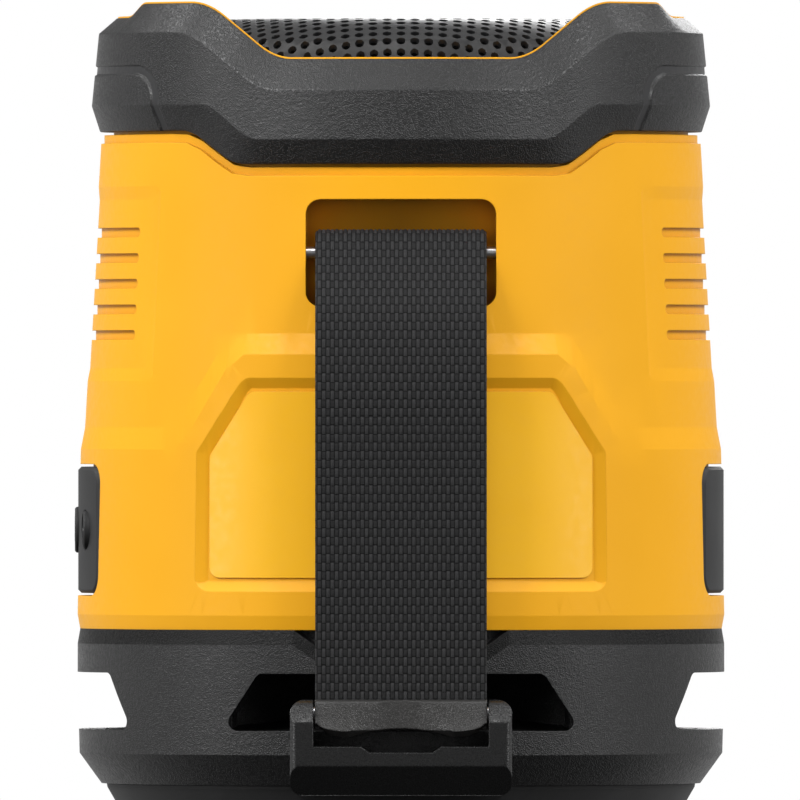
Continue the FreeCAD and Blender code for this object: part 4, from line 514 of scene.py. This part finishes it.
def bumper():
    """The black ring with four raised corners and two grooved side pads."""
    first, last = GROOVE_TURNS
    fine = np.arange(first, last, FINE_STEP)
    dense = [90 * side + k for side in (1, 3) for k in np.concatenate([fine, -fine])]
    kept = [t for t in np.arange(0, 360, TURN_STEP)
            if not first - GROOVE_CLEAR < abs((t % 180) - 90) < last + GROOVE_CLEAR]
    turn = np.unique(np.round(np.concatenate([kept, dense]) % 360, 3))
    top, upper, lower, low = bumper_edges(turn)
    rebate = low + REBATE
    corners = rows_at(turn, [(TOP_RADIUS, top), (UPPER_RADIUS, upper), (LOWER_RADIUS, lower),
                             (FOOT_RADIUS, low), (LIP_RADIUS, low), (LIP_RADIUS, rebate),
                             (TOP_RADIUS, rebate)])
    wall = np.unique(np.concatenate([np.linspace(0.03, 0.42, 14),
                                     (UPPER_CREASE - GROOVE_ROWS) / (UPPER_CREASE - LOWER_CREASE),
                                     np.linspace(0.61, 0.97, 14)]))
    fractions = [np.linspace(0.08, 0.92, 12), wall, np.linspace(0.07, 0.93, 12), [0.5], [0.5], [],
                 np.linspace(0.1, 0.9, 6)]
    chain = np.stack(rounded_chain(corners, [0.09, 0.16, 0.16, 0.2, 0.15, 0.1, 0.1], fractions), 1)
    radius, height = chain[..., 0], chain[..., 1]
    round_points = swept(chain, turn)
    x, y = round_points[..., 0], round_points[..., 1]
    qx, qz = np.abs(y) - (PAD_HALF - PAD_CORNER), height - (PAD_TOP - PAD_CORNER)
    outside = np.hypot(np.maximum(qx, 0), np.maximum(qz, 0)) + np.minimum(np.maximum(qx, qz), 0) - PAD_CORNER
    depth = (GROOVE_DEPTH * np.clip(outside / GROOVE_WALL, 0, 1)
             * np.clip((GROOVE_WIDTH - outside) / GROOVE_WALL, 0, 1))
    depth = np.where((np.abs(x) > GROOVE_BESIDE) & (radius > GROOVE_OUTSIDE), depth, 0)
    points = swept(np.stack([radius - depth, height], -1), turn)
    faces = grid_faces(len(turn), chain.shape[1], True, True)
    obj = made_mesh("bumper_ring", points.reshape(-1, 3), faces, "case", "black_plastic", RING_SHARP)
    second_surface(obj, SURFACES["frame_plastic"], depth.reshape(-1) > GROOVE_FLOOR)
    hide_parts("top_bumper")


# The grille

CREST = [(0.0, 122.46), (27.0, 122.46), (29.0, 122.42), (30.6, 122.2), (32.35, 121.72), (34.4, 121.0),
         (36.4, 120.1), (38.3, 119.06)]
FLANK = [(39.45, 117.1), (40.25, 115.9), (41.0, 115.2)]
PITCH, HOLE, HOLE_SIDES = 2.17, 0.74, 16
PROFILE_STEPS, RIM_STEPS = 240, 240
RIM_BAND = 0.9                              # the sheet's unpierced rim
SHEET_THICK, UNDERSIDE_IN = 0.7, 0.3
SKIRT_LOW, SKIRT_WALL, SKIRT_STEP = 106.05, 0.8, 2.0
SKIRT_TOP_OUTSIDE, SKIRT_TOP_INSIDE = 0.1, 0.6


def drawn_profile():
    """The dome's line as sheet length, radius and height: a soft crest, a crease and a steep flank."""
    radii, heights = (np.array(c) for c in zip(*CREST))
    r = np.linspace(0, radii[-1], PROFILE_STEPS)
    z = np.interp(r, radii, heights)
    for _ in range(3):
        z = np.convolve(np.pad(z, 3, mode="reflect", reflect_type="odd"), np.ones(7) / 7, "valid")
    r = np.concatenate([r, [p[0] for p in FLANK]])
    z = np.concatenate([z, [p[1] for p in FLANK]])
    length = np.concatenate([[0], np.cumsum(np.hypot(np.diff(r), np.diff(z)))])
    return length, r, z


SHEET_LENGTH, SHEET_RADIUS, SHEET_HEIGHT = drawn_profile()
CREASE_AT = float(SHEET_LENGTH[-1 - len(FLANK)])
RIM = float(SHEET_LENGTH[-1])
HOLES_WITHIN = RIM - RIM_BAND


def circle(radius, count, shift=0.0):
    """Points round the middle, turned on by a share of a step."""
    angles = [2 * math.pi * (k + shift) / count for k in range(count)]
    return [(radius * math.cos(a), radius * math.sin(a)) for a in angles]


def grille():
    """The pierced sheet, laid out flat with every hole open, then drawn over the dome, and its skirt."""
    reach = range(-int(RIM / PITCH) - 1, int(RIM / PITCH) + 2)
    hole = circle(HOLE, HOLE_SIDES, 0.5)
    loops = [[(i * PITCH + a, j * PITCH + b) for a, b in hole] for i in reach for j in reach
             if math.hypot(i, j) * PITCH < HOLES_WITHIN]
    loops += [circle(RIM, RIM_STEPS), circle(CREASE_AT, RIM_STEPS)]
    flat, edges = [], []
    for loop in loops:
        start = len(flat)
        flat += [Vector(point) for point in loop]
        edges += [(start + k, start + (k + 1) % len(loop)) for k in range(len(loop))]
    verts, _, faces, _, _, _ = delaunay_2d_cdt(flat, edges, [], 0, 1e-6)
    plan = np.array([(v.x, v.y) for v in verts])
    tris = np.array([f for f in faces if len(f) == 3])
    middle = plan[tris].mean(1)
    nearest = np.round(middle / PITCH) * PITCH
    open_hole = (np.hypot(*(middle - nearest).T) < HOLE * 0.9) & (np.hypot(*nearest.T) < HOLES_WITHIN)
    a, b, c = plan[tris[:, 0]], plan[tris[:, 1]], plan[tris[:, 2]]
    twice = (b - a)[:, 0] * (c - a)[:, 1] - (b - a)[:, 1] * (c - a)[:, 0]
    solid = ~open_hole & (np.abs(twice) > 1e-9)
    tris, twice = tris[solid], twice[solid]
    tris[twice < 0] = tris[twice < 0][:, ::-1]
    along = np.hypot(plan[:, 0], plan[:, 1])
    height = np.interp(along, SHEET_LENGTH, SHEET_HEIGHT)
    plan = plan * (np.interp(along, SHEET_LENGTH, SHEET_RADIUS) / np.maximum(along, 1e-6))[:, None]
    upper = np.column_stack([plan, height])
    lower = np.column_stack([plan * (1 - UNDERSIDE_IN / FLANK[-1][0]), height - SHEET_THICK])
    total = len(plan)
    pairs = np.concatenate([tris[:, [0, 1]], tris[:, [1, 2]], tris[:, [2, 0]]])
    known = set(map(tuple, pairs.tolist()))
    faces = tris.tolist() + (tris[:, ::-1] + total).tolist()
    faces += [(q, p, p + total, q + total) for p, q in known if (q, p) not in known]
    angles = np.radians(np.arange(0, 360, SKIRT_STEP))
    rim_r, rim_z = float(SHEET_RADIUS[-1]), float(SHEET_HEIGHT[-1])
    rings = [(rim_r, rim_z - SKIRT_TOP_OUTSIDE), (rim_r, SKIRT_LOW), (rim_r - SKIRT_WALL, SKIRT_LOW),
             (rim_r - SKIRT_WALL, rim_z - SKIRT_TOP_INSIDE)]
    skirt = np.array(grid_faces(len(rings), len(angles), True, True)) + 2 * total
    faces += skirt[:, ::-1].tolist()
    verts = np.concatenate([upper, lower] + [np.column_stack([r * np.cos(angles), r * np.sin(angles),
                                                              np.full_like(angles, z)]) for r, z in rings])
    obj = made_mesh("grille_sheet", verts, faces, "case", "grille_steel", 40)
    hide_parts("grille")


# The strap

STRAP_WIDTH, STRAP_THICK, WEAVE = 26.3, 2.0, 1.315
LIP, LIP_BEND = (-49.88, 77.2), 3.5         # the pocket's lower lip as (y, z), and the bend over it
BROW_HEIGHT, BROW_BEND, STRAP_LOW = 66.7, 6.0, 17.2
RUN_INSIDE = 1.1                            # the middle line's place behind the solid's outer face
PIN_LOOP, SEWN_APART = 2.6, 2.2
SEWN_END, SEWN_START, LOOP_END, LOOP_START = 8.0, 5.0, 1.2, 1.5
WARP_RISE, WEFT_RISE, SELVEDGE = 0.20, 0.09, 0.7
WEAVE_SUNK, BACK_SUNK = 0.12, 0.05          # how far the flat tape lies inside its thickness
ROWS_PER_WEAVE, FRONT_COLUMNS, BACK_COLUMNS = 5, 161, 41


def strap_line():
    """The tape's middle line as (y, z) and its way, from the sewn end behind, over the pin, to the bar."""
    low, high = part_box("strap_pin")
    pin = (np.array([low.y + high.y, low.z + high.z]) / 2) / MM
    run_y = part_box("strap")[0].y / MM + RUN_INSIDE
    lip, brow, end = np.array(LIP), np.array([run_y, BROW_HEIGHT]), np.array([run_y, STRAP_LOW])
    gap = lip - pin
    ahead = math.sqrt(np.linalg.norm(gap) ** 2 - PIN_LOOP ** 2)
    way = math.atan2(gap[1], gap[0]) + math.atan2(PIN_LOOP, ahead)
    forward = np.array([math.cos(way), math.sin(way)])
    front = lip - forward * ahead
    outward = (front - pin) / PIN_LOOP
    behind = pin - outward * PIN_LOOP
    inner = front - outward * SEWN_APART
    points = [inner + forward * SEWN_END, inner + forward * SEWN_START, behind + forward * LOOP_END]
    turn = math.atan2(-outward[1], -outward[0])
    for a in (turn + math.pi * k / 24 for k in range(25)):
        points.append(pin + PIN_LOOP * np.array([math.cos(a), math.sin(a)]))
    points.append(front + forward * LOOP_START)
    for corner, before, after, size in ((lip, front, brow, LIP_BEND), (brow, lip, end, BROW_BEND)):
        start, stop = (corner + (p - corner) / np.linalg.norm(p - corner) * size for p in (before, after))
        for t in np.linspace(0, 1, 9):
            points.append(start * (1 - t) ** 2 + corner * 2 * t * (1 - t) + stop * t * t)
    points.append(end)
    return np.array(points)


def selvedge(x):
    """How far each place across the tape is in from its edge, and how full the tape is there, as shares."""
    share = np.clip((STRAP_WIDTH / 2 - np.abs(x)) / SELVEDGE, 0, 1)
    return share, 0.55 + 0.45 * np.sqrt(1 - (1 - share) ** 2)


def strap():
    """The tape as one mesh: a woven front with raised floats, a plain back and rounded edges."""
    line = strap_line()
    away = np.concatenate([[0], np.cumsum(np.linalg.norm(np.diff(line, axis=0), axis=1))])
    rows = int(away[-1] / WEAVE * ROWS_PER_WEAVE)
    s = np.linspace(0, away[-1], rows)
    line = np.column_stack([np.interp(s, away, line[:, 0]), np.interp(s, away, line[:, 1])])
    kernel = np.array([1, 2, 3, 2, 1]) / 9
    for _ in range(2):
        soft = np.column_stack([np.convolve(line[:, k], kernel, "same") for k in (0, 1)])
        line[3:-3] = soft[3:-3]
    way = np.gradient(line, axis=0)
    way /= np.linalg.norm(way, axis=1)[:, None]
    out = np.column_stack([way[:, 1], -way[:, 0]])
    half = STRAP_WIDTH / 2
    across = np.linspace(-half, half, FRONT_COLUMNS)
    column = np.abs((across[None, :] / WEAVE + 0.5 * (np.floor(s / WEAVE) % 2)[:, None]) % 1.0 - 0.5)
    in_row = np.abs((s / WEAVE) % 1.0 - 0.5)[:, None]
    warp = (WARP_RISE * np.sqrt(np.clip(1 - (column / 0.22) ** 2, 0, 1))
            * np.clip((0.56 - in_row) / 0.16, 0, 1) ** 0.5)
    weft = (WEFT_RISE * np.clip((column - 0.2) / 0.3, 0, 1) ** 0.5
            * np.clip((0.5 - in_row) / 0.2, 0, 1))
    edge, full = selvedge(across)
    lift = (STRAP_THICK / 2 - WEAVE_SUNK) * full[None, :] + (warp + weft) * edge[None, :]
    back = np.linspace(half, -half, BACK_COLUMNS)
    drop = -(STRAP_THICK / 2 - BACK_SUNK) * selvedge(back)[1]
    xs = np.concatenate([across, back])
    offsets = np.concatenate([lift, np.repeat(drop[None, :], rows, 0)], 1)
    points = np.empty((rows, len(xs), 3))
    points[..., 0] = xs[None, :]
    points[..., 1] = line[:, 0:1] + out[:, 0:1] * offsets
    points[..., 2] = line[:, 1:2] + out[:, 1:2] * offsets
    cap = len(xs)
    faces = [f[::-1] for f in grid_faces(rows, cap, False, True)]
    faces += [list(range(cap)), list(range((rows - 1) * cap, rows * cap))[::-1]]
    obj = made_mesh("woven_strap", points.reshape(-1, 3), faces, "strap_body", "webbing", 60)
    layer = obj.data.uv_layers.new(name="tape")
    index = np.zeros(len(obj.data.loops), np.int64)
    obj.data.loops.foreach_get("vertex_index", index)
    uv = np.column_stack([xs[index % cap] / WEAVE, s[np.minimum(index // cap, rows - 1)] / WEAVE])
    layer.data.foreach_set("uv", uv.astype(np.float32).ravel())
    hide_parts("strap")


# The marks on the keys

MARK_OUTER, MARK_INNER, MARK_GAP = 1.75, 1.35, 38       # the power mark's ring, open by twice the gap
MARK_LINE, MARK_SPAN = 0.42, 2.4
MARK_BAR_UP, MARK_BAR_TALL = 1.25, 1.7
MARK_THICK, UPRIGHT_THICK, MARK_SUNK = 0.06, 0.05, 0.02


def plate_yz(name, outline, x, thick, body):
    """A thin printed mark: an outline of (y, z) points in mm, facing -X."""
    count = len(outline)
    verts = [(x, y, z) for y, z in outline] + [(x - thick, y, z) for y, z in outline]
    faces = [list(range(count)), list(range(count, 2 * count))[::-1]]
    faces += [[i, i + count, (i + 1) % count + count, (i + 1) % count] for i in range(count)]
    mesh = bpy.data.meshes.new(name)
    mesh.from_pydata([[c * MM for c in v] for v in verts], [], faces)
    obj = placed(name, mesh)
    mesh.materials.append(MARK)
    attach(obj, body)


def bar(cy, cz, wide, tall):
    """A rectangle of (y, z) points about its middle."""
    low_y, high_y, low_z, high_z = cy - wide / 2, cy + wide / 2, cz - tall / 2, cz + tall / 2
    return [(low_y, low_z), (high_y, low_z), (high_y, high_z), (low_y, high_z)]


def key_marks():
    """A power mark, a minus and a plus, each riding on its key."""
    def face(node):
        low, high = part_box(node)
        return low.x / MM + MARK_SUNK, (low.y + high.y) / 2 / MM, (low.z + high.z) / 2 / MM

    x, y, z = face("power_button")
    angles = np.radians(np.linspace(90 + MARK_GAP, 450 - MARK_GAP, 40))
    ring = [(y + MARK_OUTER * math.cos(a), z + MARK_OUTER * math.sin(a)) for a in angles]
    ring += [(y + MARK_INNER * math.cos(a), z + MARK_INNER * math.sin(a)) for a in angles[::-1]]
    upright = bar(y, z + MARK_BAR_UP, MARK_LINE, MARK_BAR_TALL)
    plate_yz("power_mark_ring", ring, x, MARK_THICK, "power_key")
    plate_yz("power_mark_bar", upright, x, MARK_THICK, "power_key")
    x, y, z = face("volume_down_button")
    plate_yz("volume_down_mark", bar(y, z, MARK_SPAN, MARK_LINE), x, MARK_THICK, "volume_down_key")
    x, y, z = face("volume_up_button")
    plate_yz("volume_up_mark_across", bar(y, z, MARK_SPAN, MARK_LINE), x, MARK_THICK, "volume_up_key")
    plate_yz("volume_up_mark_upright", bar(y, z, MARK_LINE, MARK_SPAN), x, UPRIGHT_THICK, "volume_up_key")


# The pieces that keep the solids' meshes

COLLAR_LOW, COLLAR_RADIUS, COLLAR_SLANT = 20.0, 49.4, (0.08, 0.5)
SECTORS, SECTOR_SHARP = 12, 40


def collar():
    """The slanted top of the base ring gets painted shade: a darker, less glossy black than its wall, where
    the body shades it.
    """
    node = NODES["base_skirt"]
    node.data.materials.append(COLLAR_SHADE)
    for face in node.data.polygons:
        centre = node.matrix_world @ face.center / MM
        slanted = COLLAR_SLANT[0] < face.normal.z < COLLAR_SLANT[1]
        if slanted and centre.z > COLLAR_LOW and math.hypot(centre.x, centre.y) > COLLAR_RADIUS:
            face.material_index = 1


def flexing(ring, slot):
    """A soft ring cut into sectors, each a piece of its own."""
    source = NODES[ring]
    half = math.pi / SECTORS
    for number in range(SECTORS):
        shape = bmesh.new()
        shape.from_mesh(source.data)
        shape.transform(source.matrix_world)
        bmesh.ops.remove_doubles(shape, verts=shape.verts, dist=1e-6)
        middle = 2 * half * number
        for side in (-1, 1):
            angle = middle + side * half
            normal = (-side * math.sin(angle), side * math.cos(angle), 0)
            cut = bmesh.ops.bisect_plane(shape, geom=shape.verts[:] + shape.edges[:] + shape.faces[:],
                                         dist=1e-7, plane_co=(0, 0, 0), plane_no=normal, clear_outer=True)
            seam = [e for e in cut["geom_cut"] if isinstance(e, bmesh.types.BMEdge)]
            bmesh.ops.edgenet_fill(shape, edges=seam)
        mesh = bpy.data.meshes.new(ring)
        shape.to_mesh(mesh)
        shape.free()
        piece = placed("%s_%02d" % (ring, number + 1), mesh)
        shaded(mesh, SECTOR_SHARP)
        mesh.materials.append(SURFACES[slot])
        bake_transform(piece)
        if number == 0:
            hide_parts(ring)


for row in frame["record"]["subparts"]:
    node = NODES[row["node"]]
    node.data.materials.clear()
    node.data.materials.append(NODE_SURFACES.get(row["node"], SURFACES[row["material_slot"]]))
    corner_normals(node)

collar()
flexing("driver_surround", "black_rubber")
flexing("driver_spider", "cloth")
flexing("radiator_surround", "black_rubber")
baffle()
bumper()
grille()
strap()
key_marks()


# Stage: floor, world, lights and camera, in metres

FLOOR_HALF, WHITE_FROM, WHITE_AT = 3.0, 0.07, 0.17

# The world's brightness by height, from straight down at 0 to straight up at 1.
SKY = [(0.0, 0.06), (0.42, 0.06), (0.48, 0.12), (0.49, 1.0), (0.515, 1.0), (0.53, 0.22), (0.7, 0.25),
       (1.0, 0.50)]

# Name, place, height it is aimed at over the middle, size and power in watts.
LIGHTS = [
    ("key_left", (-1.20, -1.00, 1.20), 0.06, (0.6, 0.6), 26.0),
    ("key_right", (1.20, -1.00, 1.15), 0.06, (0.6, 0.6), 20.5),
    ("low_left", (-1.45, -0.55, 0.20), 0.05, (0.35, 0.4), 3.6),
    ("low_right", (1.45, -0.55, 0.20), 0.05, (0.35, 0.4), 2.7),
    ("high", (-0.1, -0.95, 1.4), 0.09, (0.4, 0.3), 3.0),
    ("top", (0.0, 0.2, 1.5), 0.1, (1.0, 1.0), 2.0),
    ("side_left", (-1.25, 0.45, 1.07), 0.06, (0.5, 0.5), 7.0),
    ("side_right", (1.25, 0.45, 1.03), 0.06, (0.5, 0.5), 5.5),
    ("back", (0.3, 1.8, 0.7), 0.06, (0.7, 0.6), 9.0),
]

PHOTO_WIDTH, SENSOR = 0.1237, 36.0          # what the picture spans at the middle, and in mm the sensor
CAMERA_ASIDE, CAMERA_AWAY, CAMERA_HEIGHT = -0.00015, 5.7, 0.0637


def seen(graph):
    """1 for rays from the camera and for those that metal and glass send on, 0 for light."""
    path = graph.node("ShaderNodeLightPath").outputs
    either = graph.math("MAXIMUM", path["Is Camera Ray"], path["Is Glossy Ray"])
    return graph.math("MAXIMUM", either, path["Is Transmission Ray"])


def stage():
    """A pale floor that keeps the object's shadow and turns white further out."""
    mesh = bpy.data.meshes.new("floor")
    corners = [(-FLOOR_HALF, -FLOOR_HALF, 0), (FLOOR_HALF, -FLOOR_HALF, 0), (FLOOR_HALF, FLOOR_HALF, 0),
               (-FLOOR_HALF, FLOOR_HALF, 0)]
    mesh.from_pydata(corners, [], [(0, 1, 2, 3)])
    floor = placed("floor", mesh)
    s = Surface("pale_floor", (0.86, 0.86, 0.86), 0.7, specular=0.0)
    s.colour(s.mix(s.noise(0.01, 2.0), (0.85, 0.85, 0.85), (0.88, 0.88, 0.88)))
    distance = s.node("ShaderNodeVectorMath", {"operation": "LENGTH"}, **{"0": s.place}).outputs["Value"]
    far = s.ramp(distance, WHITE_FROM, WHITE_AT)
    white = s.node("ShaderNodeEmission", Color=(1, 1, 1, 1), Strength=1.0)
    blend = s.node("ShaderNodeMixShader", **{"0": s.math("MULTIPLY", far, seen(s)), "1": s.shader.outputs[0],
                                             "2": white.outputs[0]})
    s.feed(s.tree.nodes["Material Output"], "Surface", blend.outputs[0])
    mesh.materials.append(s.material)
    floor.visible_glossy = False
    floor.visible_diffuse = False


def world():
    """A soft studio: a white horizon, dim below it but paler beyond the object, and brighter overhead."""
    made = bpy.data.worlds.new("studio")
    bpy.context.scene.world = made
    made.use_nodes = True
    graph = Graph(made.node_tree)
    place = graph.node("ShaderNodeTexCoord").outputs["Generated"]
    parts = graph.node("ShaderNodeSeparateXYZ", **{"0": place}).outputs
    level = graph.node("ShaderNodeMath", {"operation": "MULTIPLY_ADD"},
                       **{"0": parts["Z"], "1": 0.5, "2": 0.5})
    sky = graph.node("ShaderNodeValToRGB", Fac=level.outputs[0])
    stops = sky.color_ramp.elements
    stops.remove(stops[1])
    stops[0].position, lowest = SKY[0]
    stops[0].color = (lowest, lowest, lowest, 1)
    for position, value in SKY[1:]:
        stops.new(position).color = (value, value, value, 1)
    behind = graph.ramp(parts["Y"], -0.5, 0.2)
    below = graph.ramp(parts["Z"], 0.0, -0.05, 0.0, 0.6, "LINEAR")
    shallow = graph.ramp(parts["Z"], -0.75, -0.40)
    pale = graph.math("MULTIPLY", graph.math("MULTIPLY", behind, below), shallow)
    graph.feed(graph.tree.nodes["Background"], "Color", graph.mix(pale, sky.outputs["Color"], (1, 1, 1)))


def area_light(name, location, height, size, power):
    """A rectangular lamp aimed at a height over the middle."""
    light = bpy.data.lights.new(name, "AREA")
    light.shape = "RECTANGLE"
    light.size, light.size_y = size
    light.energy = power
    obj = placed(name, light)
    obj.location = location
    obj.rotation_euler = (Vector((0, 0, height)) - Vector(location)).to_track_quat("-Z", "Y").to_euler()


def camera():
    """The photograph's view from the rear, from far enough to be nearly without perspective."""
    data = bpy.data.cameras.new("photo_view")
    cam = placed("photo_view", data)
    data.sensor_width = SENSOR
    data.lens = SENSOR * CAMERA_AWAY / PHOTO_WIDTH
    data.clip_start, data.clip_end = 0.1, 50.0
    cam.location = (CAMERA_ASIDE, -CAMERA_AWAY, CAMERA_HEIGHT)
    cam.rotation_euler = (math.radians(90), 0, 0)
    bpy.context.scene.camera = cam


stage()
world()
for lamp in LIGHTS:
    area_light(*lamp)
camera()
bpy.context.scene.view_settings.view_transform = "Standard"
